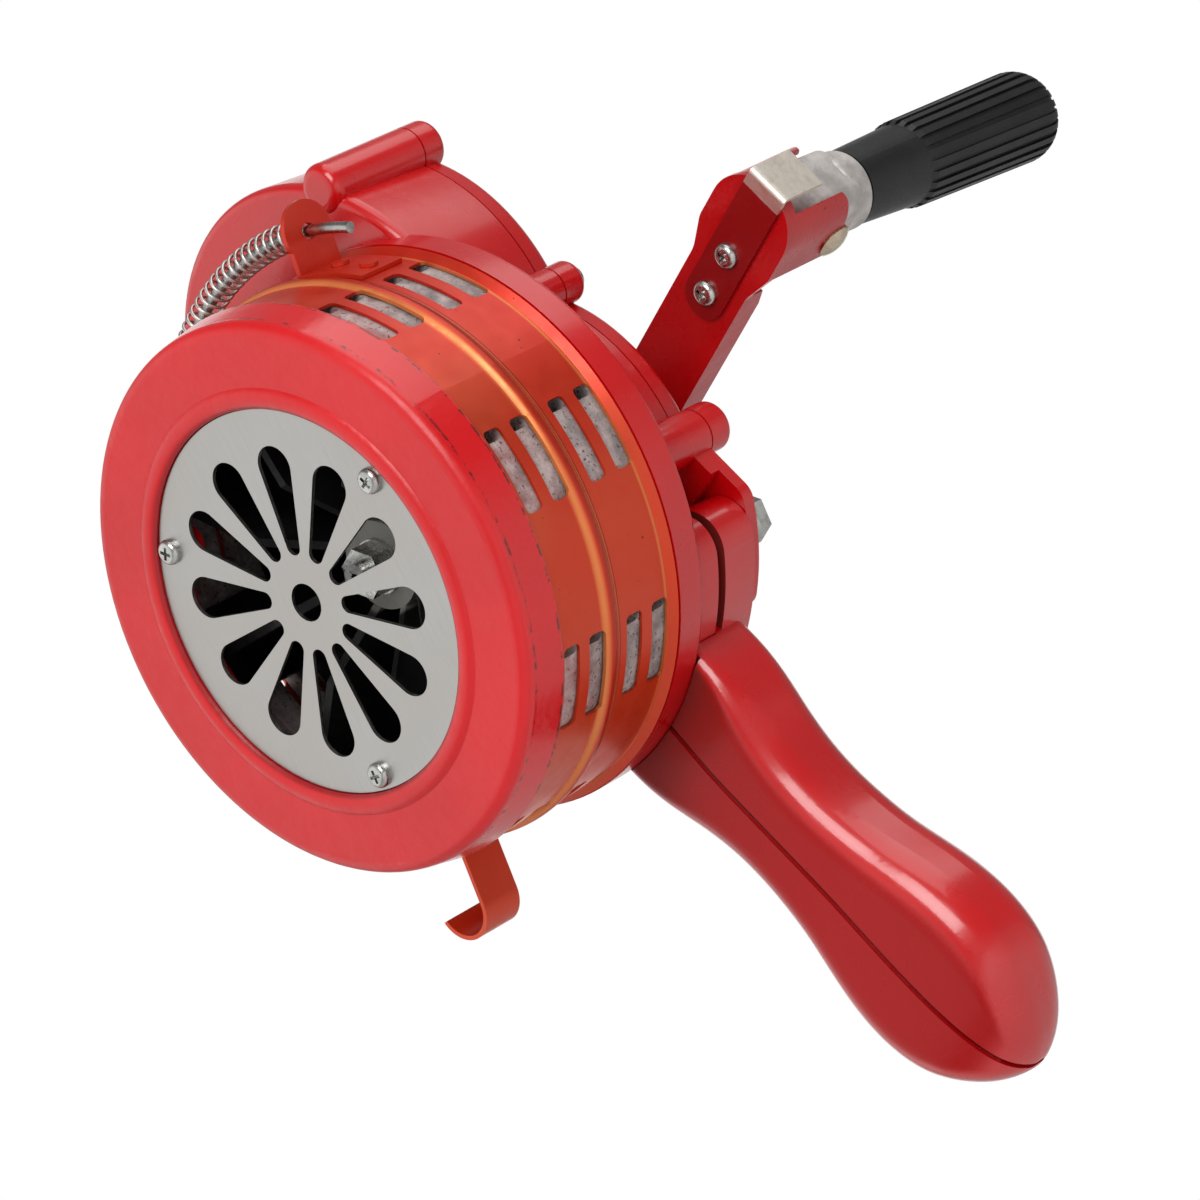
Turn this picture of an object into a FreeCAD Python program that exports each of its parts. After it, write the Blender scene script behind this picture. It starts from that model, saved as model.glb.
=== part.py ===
import FreeCAD, Part
import math
import os

# Hand crank siren, in use: handle down, crank behind. Millimetres.
# Shapes are drawn round the siren's axis: X right seen from the front, Y from front to rear,
# Z up, with Y = 0 on the front face of the intake grille. They are then moved so that the
# origin is the middle of the hand's grip. Angles are seen from the front, anticlockwise from +X.

# Height of the siren's axis over the middle of the grip
AXIS_HEIGHT = 140.0

# Clearances
RUN_GAP = 0.04
SLIDE_GAP = 0.35
SEAT_GAP = 0.1

# Drum casting and intake grille
RING_R = 81.6
RING_FACE = -0.8
RING_EDGE = 4.0
RING_DRAFT = 1.6
RING_DEPTH = 12.1
RING_WALL = 4.0
DRUM_R = 79.4
DRUM_WALL = 5.4
DRUM_END = 59.0
GRILLE_R = 55.5
GRILLE_T = 1.2
GRILLE_LEDGE = 2.2
INTAKE_WALL = 2.7
INTAKE_DEPTH = 9.0
LIP_W = 6.0
LIP_H = 1.3
PETALS = 12
PETAL_OUTER_R = 38.9
PETAL_OUTER_HALF = 6.1
PETAL_INNER_R = 16.1
PETAL_INNER_HALF = 2.5
GRILLE_HOLE_R = 5.5
GRILLE_SCREW_PCR = 51.0
GRILLE_SCREWS = 3
LUG_R = 5.2
LUG_DEPTH = 8.0

# Slots of drum and shutter: rows along the axis, groups round it
SLOT_ROWS = (13.7, 24.0, 39.4, 49.9)
SLOT_W = 6.3
SLOT_GROUPS = 8
SLOT_SPAN = 17.8
SLOT_FIRST = -20.0
SLOT_CORNER = 1.6
SHUTTER_TRAVEL = 15.5

# Shutter band with its bead, rear lip, lug and trigger
BAND_T = 0.9
BAND_GAP = 0.5
BEAD_Y = 32.7
BEAD_W = 5.6
BEAD_H = 1.4
LIP_RISE = 2.2
LIP_LENGTH = 1.9
ROD_RISE = 9.3
ROD_Y = 45.0
ROD_WIRE_R = 1.6
ROD_START = 43.3
LUG_ANGLE = 54.0
LUG_T = 1.6
LUG_EAR_R = 9.0
LUG_HOLE_GAP = 0.8
LUG_FOOT_SPAN = 17.0
FOOT_T = 1.2
ANCHOR_ANGLE = 99.0
ANCHOR_T = 2.0
ANCHOR_W = 12.0
ANCHOR_FOOT = 22.0
ANCHOR_SCREW_OUT = 13.6
ANCHOR_SCREW_R = 1.9
TRIGGER_ANGLE = -131.0
TRIGGER_FRONT = 29.0
TRIGGER_W = 14.0
TRIGGER_T = 1.3
TRIGGER_REACH = 20.0
TRIGGER_CURL_R = 8.8
TRIGGER_CURL_SWEEP = 161.0
TRIGGER_LEAN = 8.1
TRIGGER_FOOT_SPAN = 13.0
RIVET_R = 2.6
RIVET_H = 1.0

# Return spring round the rod
SPRING_WIRE_R = 0.5
SPRING_MEAN_R = 3.9
SPRING_PITCH = 3.46

# Gear case and cover, two round lobes one above the other, narrower to the rear
FLANGE_R = 83.2
FLANGE_T = 10.0
FLANGE_EDGE = 1.5
CASE_STEP = 5.0
CASE_DEPTH = 30.0
CASE_WALL = 3.2
CASE_EDGE = 3.0
CASE_DRAFT = 0.051
UPPER_LOBE_R = 60.0
LOWER_LOBE_R = 58.0
GASKET_T = 0.5
GASKET_INSET = 0.6
COVER_DEPTH = 7.8
COVER_WALL = 3.6
COVER_EDGE = 4.0
COVER_DRAFT = 0.125
COLUMNS = ((51.0, 86.8, 7.4), (53.3, 27.4, 6.2), (53.4, -31.8, 7.2))
COLUMN_TOP = 1.0
COLUMN_EDGE = 2.4
COLUMN_DOME = 3.2
COLUMN_OUT = 1.5
COLUMN_WEB = 0.6
COVER_SCREW_R = 2.0
COVER_SCREW_GRIP = 16.0
DRUM_SCREW_R = 1.5
DRUM_SCREW_GRIP = 8.0
DRUM_SCREW_ANGLES = (18.0, 153.0, 198.0, 333.0)
CASE_LUG_T = 10.0
EAR_PLATE_T = 4.0
EAR_PLATE_R = 78.0
EAR_PLATE_X = 55.0
EAR_PLATE_LOW = 73.0
EAR_PLATE_HIGH = 30.0
EAR_PLATE_CORNER = 6.0
EAR_GUSSET = 3.4
BOLT_ANGLE = 54.0
BOLT_R = 4.0
BOLT_AF = 13.0
BOLT_HEAD_H = 5.3
BOLT_GRIP = 38.0
BOLT_WASHER_R = 8.0
BOLT_WASHER_T = 1.6

# Gears, all of one module
MODULE = 1.0
WHEEL_TEETH = 90
PINION_TEETH = 20
BACKLASH = 0.25
GEAR_W = 7.0
PINION_EXTRA = 2.0

# Rotor with its shaft and bearings
TIP_GAP = 0.7
IMPELLER_FRONT_GAP = 0.5
IMPELLER_BACK_GAP = 4.5
IMPELLER_PLATE = 2.5
VANES = 8
VANE_T = 2.6
RIM_T = 2.8
RIM_SPAN = 22.0
HUB_R = 13.0
HUB_FRONT = 30.0
ROTOR_SHAFT_R = 4.0
ROTOR_SHAFT_FRONT = 19.5
ROTOR_NUT_AF = 13.0
ROTOR_NUT_H = 6.0
BEARING_R = 11.0
BEARING_W = 7.0
BEARING_INSET = 0.6
BEARING_SPACING = 3.2
BEARING_BOSS_WALL = 4.0

# Countershaft
COUNTER_R = 5.0
COUNTER_BUSH_R = 7.5
COUNTER_BUSH_L = 8.0
COUNTER_BOSS_R = 11.0

# Crank with its shaft, arm and hinge bracket
CRANK_R = 6.0
CRANK_BUSH_R = 9.0
CRANK_BOSS_R = 14.0
CRANK_BOSS_L = 20.7
ARM_GAP = 5.5
ARM_T = 2.5
ARM_DEPTH = 9.5
ARM_HALF = 10.8
LOBE_HALF = 14.0
LOBE_BACK = 7.0
LOBE_REACH = 19.4
CRANK_THREAD_R = 5.0
CRANK_WASHER_T = 1.2
CRANK_NUT_AF = 15.0
CRANK_NUT_H = 4.8
PIN_X = 87.0
PIN_REACH = 26.5
PIN_R = 3.0
PIN_HEAD_R = 5.4
PIN_HEAD_H = 2.2
BRACKET_HALF = 13.7
BRACKET_T = 2.3
BRACKET_BEND = 5.5
BRACKET_OPEN = 9.0
BRACKET_PAST_PIN = 1.0
BRACKET_CORNER = 4.0
BRACKET_NOSE_R = 5.6
BRACKET_TAIL = 30.0
LATCH_T = 1.2
LATCH_HALF = 6.9
LATCH_BACK = 31.0
LATCH_OUT = 2.2
LATCH_BEND_R = 1.8
LATCH_SHORT = 11.0
LATCH_SCREW_BACK = (22.5, 7.2)
LATCH_SCREW_R = 1.9

# Folding grip, open as far as it goes: still leaning a little towards the crank's axis
GRIP_LEAN = 4.5
GRIP_OUT = 0.6
FERRULE_HALF = 11.1
FERRULE_CAM_R = 11.5
FERRULE_CORNER = 6.0
COLLAR_R = 11.6
COLLAR_REACH = 10.0
COLLAR_L = 9.0
COLLAR_EDGE = 1.2
SPINDLE_R = 4.0
SPINDLE_SHORT = 11.0
CLIP_INSET = 9.0
CLIP_T = 2.0
CLIP_R = 6.0
SLEEVE_GAP = 0.5
SLEEVE_L = 96.0
SLEEVE_NECK_R = 11.1
NECK_L = 26.5
RIB_START_R = 13.0
RIB_END_R = 13.8
RIB_H = 0.9
RIBS = 24
SLEEVE_DOME = 10.0
SLEEVE_EDGE = 9.0

# Handle, as sections down from the siren's axis: height, half width, half depth, corner
HANDLE_SECTIONS = (
    (-58.0, 24.6, 12.7, 5.0),
    (-70.0, 25.4, 12.7, 5.0),
    (-80.0, 26.0, 12.7, 5.0),
    (-92.0, 25.2, 13.6, 7.0),
    (-105.0, 22.4, 14.4, 9.5),
    (-119.0, 19.8, 14.5, 10.0),
    (-135.0, 19.8, 14.5, 10.0),
    (-150.0, 22.4, 14.6, 10.5),
    (-165.0, 26.6, 15.2, 11.5),
    (-180.0, 28.8, 15.6, 12.0),
    (-194.0, 27.4, 15.2, 12.0),
    (-206.0, 21.4, 13.4, 11.0),
    (-213.5, 14.4, 10.6, 9.2),
    (-218.0, 7.6, 6.6, 5.8),
    (-220.0, 2.4, 2.4, 2.0),
)
HANDLE_AHEAD = 2.0
HANDLE_WALL = 3.4
HANDLE_HOLLOW_TOP = -97.0
SPLIT_GAP = 0.1
GROOVE_HALF = 0.9
GROOVE_DEPTH = 1.1
YOKE_GAP = 1.6
YOKE_W = 20.4
YOKE_STEP = 3.0
HANDLE_CLEAR = 0.3
GRIP_SCREW_Z = (-122.0, -188.0)
GRIP_SCREW_R = 1.7
GRIP_SCREW_L = 15.5
GRIP_SCREW_SEAT = 6.0
GRIP_BOSS_R = 4.6

# Driven sizes
CENTRE_DISTANCE = 0.5 * MODULE * (WHEEL_TEETH + PINION_TEETH)
WHEEL_TIP = MODULE * (0.5 * WHEEL_TEETH + 1.0)
BAND_IN = DRUM_R + SLIDE_GAP
BAND_OUT = BAND_IN + BAND_T
BAND_FRONT = RING_DEPTH + BAND_GAP
BAND_REAR = DRUM_END - BAND_GAP
DRUM_BORE = DRUM_R - DRUM_WALL
DRUM_SCREW_PCR = DRUM_R - 0.5 * DRUM_WALL
GRILLE_BORE = GRILLE_R - GRILLE_LEDGE
IMPELLER_R = DRUM_BORE - TIP_GAP
IMPELLER_FRONT = INTAKE_DEPTH + IMPELLER_FRONT_GAP
IMPELLER_END = DRUM_END - IMPELLER_BACK_GAP
ROD_R = FLANGE_R + ROD_RISE
SPRING_FACE0 = LUG_ANGLE + math.degrees(0.5 * LUG_T / ROD_R)
FLANGE_END = DRUM_END + FLANGE_T
CASE_FRONT = DRUM_END + CASE_STEP
CASE_END = FLANGE_END + CASE_DEPTH
CASE_LUG_END = FLANGE_END + CASE_LUG_T
COVER_START = CASE_END + GASKET_T
COVER_END = COVER_START + COVER_DEPTH
CRANK_BOSS_END = COVER_END + CRANK_BOSS_L
BEARING_FRONT = DRUM_END + BEARING_INSET
BEARING2_FRONT = BEARING_FRONT + BEARING_W + BEARING_SPACING
BEARING_END = BEARING2_FRONT + BEARING_W
ROTOR_PINION_Y = BEARING_END + 1.2
COUNTER_GEAR_Y = ROTOR_PINION_Y + 0.5 * PINION_EXTRA
COUNTER_PINION_Y = COUNTER_GEAR_Y + GEAR_W
CRANK_GEAR_Y = COUNTER_PINION_Y + 2.5
YOKE_INNER_R = LOWER_LOBE_R + YOKE_GAP
YOKE_OUTER_R = YOKE_INNER_R + YOKE_W
YOKE_FRONT = CASE_LUG_END + YOKE_STEP
YOKE_END = CASE_END - EAR_PLATE_T - HANDLE_CLEAR
HANDLE_Y = YOKE_FRONT - HANDLE_AHEAD
EAR_R = 0.5 * YOKE_W
BOLT_FRONT = CASE_END - BOLT_GRIP
BOLT_X = (YOKE_INNER_R + EAR_R) * math.cos(math.radians(BOLT_ANGLE))
BOLT_Z = -(YOKE_INNER_R + EAR_R) * math.sin(math.radians(BOLT_ANGLE))
ARM_FRONT = CRANK_BOSS_END + ARM_GAP
ARM_BACK = ARM_FRONT + ARM_T
BRACKET_BACK = ARM_BACK + BRACKET_T
PIN_Y = ARM_FRONT + PIN_REACH
LOBE_START = PIN_X - LOBE_BACK
LOBE_END = PIN_X + LOBE_REACH
BRACKET_TAIL_X = PIN_X - BRACKET_TAIL
BRACKET_BEND_X = PIN_X + BRACKET_BEND
BRACKET_END = PIN_Y + BRACKET_PAST_PIN
LATCH_X0 = PIN_X - LATCH_BACK
LATCH_X1 = LOBE_END + LATCH_OUT
LATCH_END = PIN_Y - LATCH_SHORT
LATCH_SCREW_X = [PIN_X - back for back in LATCH_SCREW_BACK]
GRIP_X = PIN_X + GRIP_OUT
COLLAR_FRONT = PIN_Y + COLLAR_REACH
COLLAR_END = COLLAR_FRONT + COLLAR_L
SLEEVE_START = COLLAR_END + SLEEVE_GAP
SLEEVE_END = SLEEVE_START + SLEEVE_L
RIB_START = SLEEVE_START + NECK_L
SPINDLE_END = SLEEVE_END - SPINDLE_SHORT
CLIP_Y = SPINDLE_END - CLIP_INSET

V = FreeCAD.Vector
ORIGIN = V(0, 0, 0)
AHEAD = V(0, 1, 0)
UP = V(0, 0, 1)
ANTICLOCKWISE = V(0, -1, 0)


def cylinder(radius, y0, y1, x=0.0, z=0.0):
    return Part.makeCylinder(radius, y1 - y0, V(x, y0, z), AHEAD)


def tube(outer, inner, y0, y1, x=0.0, z=0.0):
    return cylinder(outer, y0, y1, x, z).cut(cylinder(inner, y0 - 1.0, y1 + 1.0, x, z))


def box(x0, x1, y0, y1, z0, z1):
    return Part.makeBox(x1 - x0, y1 - y0, z1 - z0, V(x0, y0, z0))


def turned(shape, angle):
    copy = shape.copy()
    copy.rotate(ORIGIN, ANTICLOCKWISE, angle)
    return copy


def moved(shape, x, y, z):
    copy = shape.copy()
    copy.translate(V(x, y, z))
    return copy


def mirrored(shape):
    return shape.mirror(ORIGIN, V(1, 0, 0))


def joined(shapes):
    return shapes[0].multiFuse(shapes[1:]).removeSplitter()


def rounded_box(x0, x1, y0, y1, z_half, corner):
    """Bar along Y with a rounded rectangle as its section."""
    corners = [(x0, -z_half, corner), (x1, -z_half, corner), (x1, z_half, corner), (x0, z_half, corner)]
    return prism_y(corners, y0, y1)


def polar(radius, angle):
    return radius * math.cos(math.radians(angle)), radius * math.sin(math.radians(angle))


def wire_of(path, place):
    """Closed wire of points; a pair of points is an arc through the first to the second."""
    edges = []
    here = path[0]
    for item in path[1:] + [path[0]]:
        if isinstance(item[0], tuple):
            through, end = item
            edges.append(Part.Arc(place(*here), place(*through), place(*end)).toShape())
        else:
            end = item
            edges.append(Part.makeLine(place(*here), place(*end)))
        here = end
    return Part.Wire(edges)


def rounded_wire(corners, place):
    """Closed wire through corners (a, b, radius), each rounded with its own radius."""
    count = len(corners)
    stops = []
    for i, (a, b, radius) in enumerate(corners):
        corner = V(a, b, 0)
        back = V(corners[i - 1][0], corners[i - 1][1], 0) - corner
        ahead = V(corners[(i + 1) % count][0], corners[(i + 1) % count][1], 0) - corner
        back.normalize()
        ahead.normalize()
        half = 0.5 * back.getAngle(ahead)
        middle = back + ahead
        if radius == 0.0 or middle.Length < 1e-9:
            stops.append((corner, None, corner))
            continue
        middle.normalize()
        reach = radius / math.tan(half)
        centre = corner + middle * (radius / math.sin(half))
        stops.append((corner + back * reach, centre - middle * radius, corner + ahead * reach))
    edges = []
    for i, (start, through, end) in enumerate(stops):
        if through is not None:
            arc = Part.Arc(place(start.x, start.y), place(through.x, through.y), place(end.x, end.y))
            edges.append(arc.toShape())
        following = stops[(i + 1) % count][0]
        if (following - end).Length > 1e-6:
            edges.append(Part.makeLine(place(end.x, end.y), place(following.x, following.y)))
    return Part.Wire(edges)


def prism_y(corners, y0, y1):
    """Outline in X and Z, carried from y0 to y1."""
    wire = rounded_wire(corners, lambda a, b: V(a, y0, b))
    return Part.Face(wire).extrude(V(0, y1 - y0, 0))


def prism_z(corners, z0, z1):
    """Outline in X and Y, carried from z0 to z1."""
    wire = rounded_wire(corners, lambda a, b: V(a, b, z0))
    return Part.Face(wire).extrude(V(0, 0, z1 - z0))


def prism_x(corners, x0, x1):
    """Outline in Y and Z, carried from x0 to x1."""
    wire = rounded_wire(corners, lambda a, b: V(x0, a, b))
    return Part.Face(wire).extrude(V(x1 - x0, 0, 0))


def turned_profile(path, start=0.0, span=360.0):
    """Outline of radius and Y, turned round the siren's axis from an angle through a span."""
    face = Part.Face(wire_of(path, lambda r, y: V(r, y, 0)))
    return turned(face.revolve(ORIGIN, ANTICLOCKWISE, span), start)


def sector(r_in, r_out, y0, y1, start, span):
    return turned_profile([(r_in, y0), (r_out, y0), (r_out, y1), (r_in, y1)], start, span)


def link(x0, z0, r0, x1, z1, r1, y0, y1):
    """Flat bar with round ends of two radii and tangent sides."""
    dx, dz = x1 - x0, z1 - z0
    run = math.hypot(dx, dz)
    heading = math.atan2(dz, dx)
    lean = math.acos((r0 - r1) / run)
    corners = []
    for x, z, r, side in ((x0, z0, r0, 1), (x1, z1, r1, 1), (x1, z1, r1, -1), (x0, z0, r0, -1)):
        angle = heading + side * lean
        corners.append((x + r * math.cos(angle), z + r * math.sin(angle), 0.0))
    ends = [cylinder(r0, y0, y1, x0, z0), cylinder(r1, y0, y1, x1, z1)]
    return joined([prism_y(corners, y0, y1)] + ends)


def hexagon(across_flats, y0, y1, x=0.0, z=0.0):
    radius = across_flats / math.sqrt(3.0)
    corners = []
    for i in range(6):
        a, b = polar(radius, 60.0 * i)
        corners.append((x + a, z + b, 0.0))
    return prism_y(corners, y0, y1)


def pan_screw(shank_r, length, head_scale=1.95, head_h=2.4):
    """Screw along +Y with its seat at Y = 0, a domed head in front and a cross recess."""
    head_r = shank_r * head_scale
    shoulder = (0.86 * head_r, -0.78 * head_h)
    crown = (0.55 * head_r, -head_h)
    head = turned_profile([(0, 0), (head_r, 0), (head_r, -0.35 * head_h), (shoulder, crown), (0, -head_h)])
    wing = 0.52 * head_r
    slot = 0.13 * head_r
    bars = [box(-wing, wing, -2.0 * head_h, -0.4 * head_h, -slot, slot)]
    bars.append(box(-slot, slot, -2.0 * head_h, -0.4 * head_h, -wing, wing))
    return head.cut(joined(bars)).fuse(cylinder(shank_r, 0, length)).removeSplitter()


def facing_rear(shape):
    copy = shape.copy()
    copy.rotate(ORIGIN, UP, 180)
    return copy


def edges_where(shape, test):
    return [edge for edge in shape.Edges if test(edge)]


def in_plane_y(edge, y):
    bounds = edge.BoundBox
    return abs(bounds.YMin - y) < 1e-3 and abs(bounds.YMax - y) < 1e-3


# Slots, drum and shutter
def slot_cutter(row_y, centre, r_in, r_out):
    body = sector(r_in, r_out, row_y, row_y + SLOT_W, -0.5 * SLOT_SPAN, SLOT_SPAN)

    def radial(edge):
        start, end = edge.firstVertex().Point, edge.lastVertex().Point
        depth = abs(math.hypot(start.x, start.z) - math.hypot(end.x, end.z))
        return abs(depth - (r_out - r_in)) < 1e-6

    return turned(body.makeFillet(SLOT_CORNER, edges_where(body, radial)), centre)


def slot_cutters(r_in, r_out, shift):
    pitch = 360.0 / SLOT_GROUPS
    cutters = []
    for row_y in SLOT_ROWS:
        first = slot_cutter(row_y, SLOT_FIRST + shift, r_in, r_out)
        for group in range(SLOT_GROUPS):
            cutters.append(turned(first, group * pitch))
    return cutters


def grille_screw_places():
    step = 360.0 / GRILLE_SCREWS
    return [polar(GRILLE_SCREW_PCR, i * step) for i in range(GRILLE_SCREWS)]


def drum_screw_places():
    return [polar(DRUM_SCREW_PCR, angle) for angle in DRUM_SCREW_ANGLES]


def drum_casting():
    """Front ring with raised lip, intake wall behind the grille, and slotted drum wall."""
    seat_r = GRILLE_R + 0.3
    lip_top = (seat_r + 0.5 * LIP_W, RING_FACE - LIP_H)
    bevel = RING_EDGE * (1 - math.sqrt(0.5))
    face_r = RING_R - RING_DRAFT
    intake_r = GRILLE_BORE + INTAKE_WALL
    body = turned_profile([
        (GRILLE_BORE, GRILLE_T),
        (seat_r, GRILLE_T),
        (seat_r, RING_FACE),
        (lip_top, (seat_r + LIP_W, RING_FACE)),
        (face_r - RING_EDGE, RING_FACE),
        ((face_r - bevel, RING_FACE + bevel), (face_r, RING_FACE + RING_EDGE)),
        (RING_R, RING_DEPTH),
        (DRUM_R, RING_DEPTH),
        (DRUM_R, DRUM_END),
        (DRUM_BORE, DRUM_END),
        (DRUM_BORE, RING_FACE + RING_WALL),
        (intake_r, RING_FACE + RING_WALL),
        (intake_r, INTAKE_DEPTH),
        (GRILLE_BORE, INTAKE_DEPTH),
    ])
    lugs = [cylinder(LUG_R, GRILLE_T, LUG_DEPTH, x, z) for x, z in grille_screw_places()]
    body = joined([body] + lugs)
    holes = [cylinder(1.95, -2.0, LUG_DEPTH - 1.0, x, z) for x, z in grille_screw_places()]
    for x, z in drum_screw_places():
        front = DRUM_END - DRUM_SCREW_GRIP - 1.0
        holes.append(cylinder(DRUM_SCREW_R + SEAT_GAP, front, DRUM_END + 1.0, x, z))
    return body.cut(holes).cut(slot_cutters(DRUM_BORE - 3.0, DRUM_R + 3.0, SHUTTER_TRAVEL))


def intake_grille():
    """Disc with a ring of teardrop holes, each two arcs and their common tangents."""
    front, rear = -1.0, GRILLE_T + 1.0
    step = 360.0 / PETALS
    cuts = [cylinder(GRILLE_HOLE_R, front, rear)]
    petal = link(PETAL_INNER_R, 0, PETAL_INNER_HALF, PETAL_OUTER_R, 0, PETAL_OUTER_HALF, front, rear)
    for i in range(PETALS):
        cuts.append(turned(petal, (i + 0.5) * step))
    for x, z in grille_screw_places():
        cuts.append(cylinder(2.1, front, rear, x, z))
    return cylinder(GRILLE_R, 0, GRILLE_T).cut(cuts)


def grille_screws():
    screw = moved(pan_screw(1.9, LUG_DEPTH - 1.5), GRILLE_SCREW_PCR, 0, 0)
    return [turned(screw, i * 360.0 / GRILLE_SCREWS) for i in range(GRILLE_SCREWS)]


def drum_screws():
    length = FLANGE_END - DRUM_END + DRUM_SCREW_GRIP
    screw = moved(facing_rear(pan_screw(DRUM_SCREW_R, length, head_h=2.0)), 0, FLANGE_END, 0)
    return [moved(screw, x, 0, z) for x, z in drum_screw_places()]


def shutter_band():
    half = 0.5 * BEAD_W
    lip_start = BAND_REAR - LIP_LENGTH
    body = turned_profile([
        (BAND_IN, BAND_FRONT),
        (BAND_OUT, BAND_FRONT),
        (BAND_OUT, BEAD_Y - half),
        ((BAND_OUT + BEAD_H, BEAD_Y), (BAND_OUT, BEAD_Y + half)),
        (BAND_OUT, lip_start),
        (BAND_OUT + LIP_RISE, BAND_REAR),
        (BAND_OUT + LIP_RISE - BAND_T, BAND_REAR),
        (BAND_IN, lip_start + 0.4),
        (BAND_IN, BEAD_Y + half - 0.2),
        ((BAND_IN + BEAD_H, BEAD_Y), (BAND_IN, BEAD_Y - half + 0.2)),
    ])
    return body.cut(slot_cutters(BAND_IN - 2.0, BAND_OUT + 4.0, 0.0))


def lug_foot_edges():
    return ROD_Y - 0.9 * LUG_EAR_R, ROD_Y + 0.9 * LUG_EAR_R


def shutter_lug():
    front, rear = lug_foot_edges()
    base = BAND_OUT + SEAT_GAP
    ear = box(base, ROD_R, front, rear, -0.5 * LUG_T, 0.5 * LUG_T)
    head = Part.makeCylinder(LUG_EAR_R, LUG_T, V(ROD_R, ROD_Y, -0.5 * LUG_T), UP)
    hole = Part.makeCylinder(ROD_WIRE_R + LUG_HOLE_GAP, 4 * LUG_T, V(ROD_R, ROD_Y, -2 * LUG_T), UP)
    foot = sector(base, base + FOOT_T, front, rear, -LUG_FOOT_SPAN, LUG_FOOT_SPAN)
    body = joined([ear, head, foot]).cut([hole] + foot_rivet_holes())
    return turned(body, LUG_ANGLE)


def foot_rivet_angles():
    return (-0.35 * LUG_FOOT_SPAN, -0.8 * LUG_FOOT_SPAN)


def radial_pin(radius, r0, r1, y, angle):
    return turned(Part.makeCylinder(radius, r1 - r0, V(r0, y, 0), V(1, 0, 0)), angle)


def foot_rivet_holes():
    return [radial_pin(0.5 * RIVET_R + SEAT_GAP, BAND_IN, ROD_R, ROD_Y, a) for a in foot_rivet_angles()]


def trigger_foot_y():
    return BEAD_Y + 0.5 * BEAD_W + 0.5, TRIGGER_FRONT + TRIGGER_W


def trigger_rivet_places():
    front, rear = trigger_foot_y()
    step = 0.3 * TRIGGER_FOOT_SPAN
    middle = 0.5 * (front + rear)
    return [(middle, TRIGGER_ANGLE - step), (middle, TRIGGER_ANGLE - 2.5 * step)]


def trigger():
    """Strip that leaves the band outwards, leans, and curls away from the handle."""
    half = 0.5 * TRIGGER_T
    front = TRIGGER_FRONT
    rear = TRIGGER_FRONT + TRIGGER_W
    foot_in = BAND_OUT + SEAT_GAP
    root_x, root_z = polar(foot_in, TRIGGER_ANGLE)
    heading = TRIGGER_ANGLE + TRIGGER_LEAN
    run_x, run_z = polar(1.0, heading)
    side_x, side_z = -run_z, run_x
    corners = []
    for along, across in ((-1.5, -half), (TRIGGER_REACH, -half), (TRIGGER_REACH, half), (-1.5, half)):
        x = root_x + along * run_x + across * side_x
        z = root_z + along * run_z + across * side_z
        corners.append((x, z, 0.0))
    strip = prism_y(corners, front, rear)
    centre_x = root_x + TRIGGER_REACH * run_x - TRIGGER_CURL_R * side_x
    centre_z = root_z + TRIGGER_REACH * run_z - TRIGGER_CURL_R * side_z
    curl = sector(TRIGGER_CURL_R - half, TRIGGER_CURL_R + half, front, rear,
                  heading + 90.0 - TRIGGER_CURL_SWEEP, TRIGGER_CURL_SWEEP)
    curl = moved(curl, centre_x, 0, centre_z)
    foot_front = trigger_foot_y()[0]
    bead_clear = cylinder(BAND_OUT + BEAD_H + 0.2, front - 1.0, foot_front)
    band_clear = cylinder(foot_in, front - 1.0, rear + 1.0)
    foot = sector(foot_in, foot_in + FOOT_T, foot_front, rear,
                  TRIGGER_ANGLE - TRIGGER_FOOT_SPAN, TRIGGER_FOOT_SPAN + 0.8)
    hole_r = 0.5 * RIVET_R + SEAT_GAP
    holes = [radial_pin(hole_r, BAND_IN, ROD_R, y, angle) for y, angle in trigger_rivet_places()]
    return joined([strip, curl]).cut([bead_clear, band_clear]).fuse(foot).removeSplitter().cut(holes)


def shutter_rivets():
    """Flat headed rivets; their shanks end flush inside the band."""
    places = [(ROD_Y, LUG_ANGLE + a) for a in foot_rivet_angles()] + trigger_rivet_places()
    top = BAND_OUT + SEAT_GAP + FOOT_T
    rivets = []
    for y, angle in places:
        shank = radial_pin(0.5 * RIVET_R, BAND_OUT + 0.02, top + 0.3, y, angle)
        head = radial_pin(RIVET_R, top + 0.05, top + 0.05 + RIVET_H, y, angle)
        rivets.append(shank.fuse(head).removeSplitter())
    return rivets


def wire_circle(radius, x, y):
    circle = Part.makeCircle(radius, V(x, y, 0), UP)
    return Part.Face(Part.Wire([circle]))


def guide_rod():
    """Bent wire concentric with the drum, from its free end through lug and anchor."""
    end = ANCHOR_ANGLE + math.degrees(2.2 * ANCHOR_T / ROD_R)
    rod = wire_circle(ROD_WIRE_R, ROD_R, ROD_Y).revolve(ORIGIN, ANTICLOCKWISE, end - ROD_START)
    stop = box(ROD_R - 2.6, ROD_R + 2.6, ROD_Y - 2.6, ROD_Y + 2.6, 1.5 * SEAT_GAP, 1.8)
    stop = turned(stop, ANCHOR_ANGLE + math.degrees(ANCHOR_T / ROD_R))
    return joined([turned(rod, ROD_START), stop])


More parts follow.
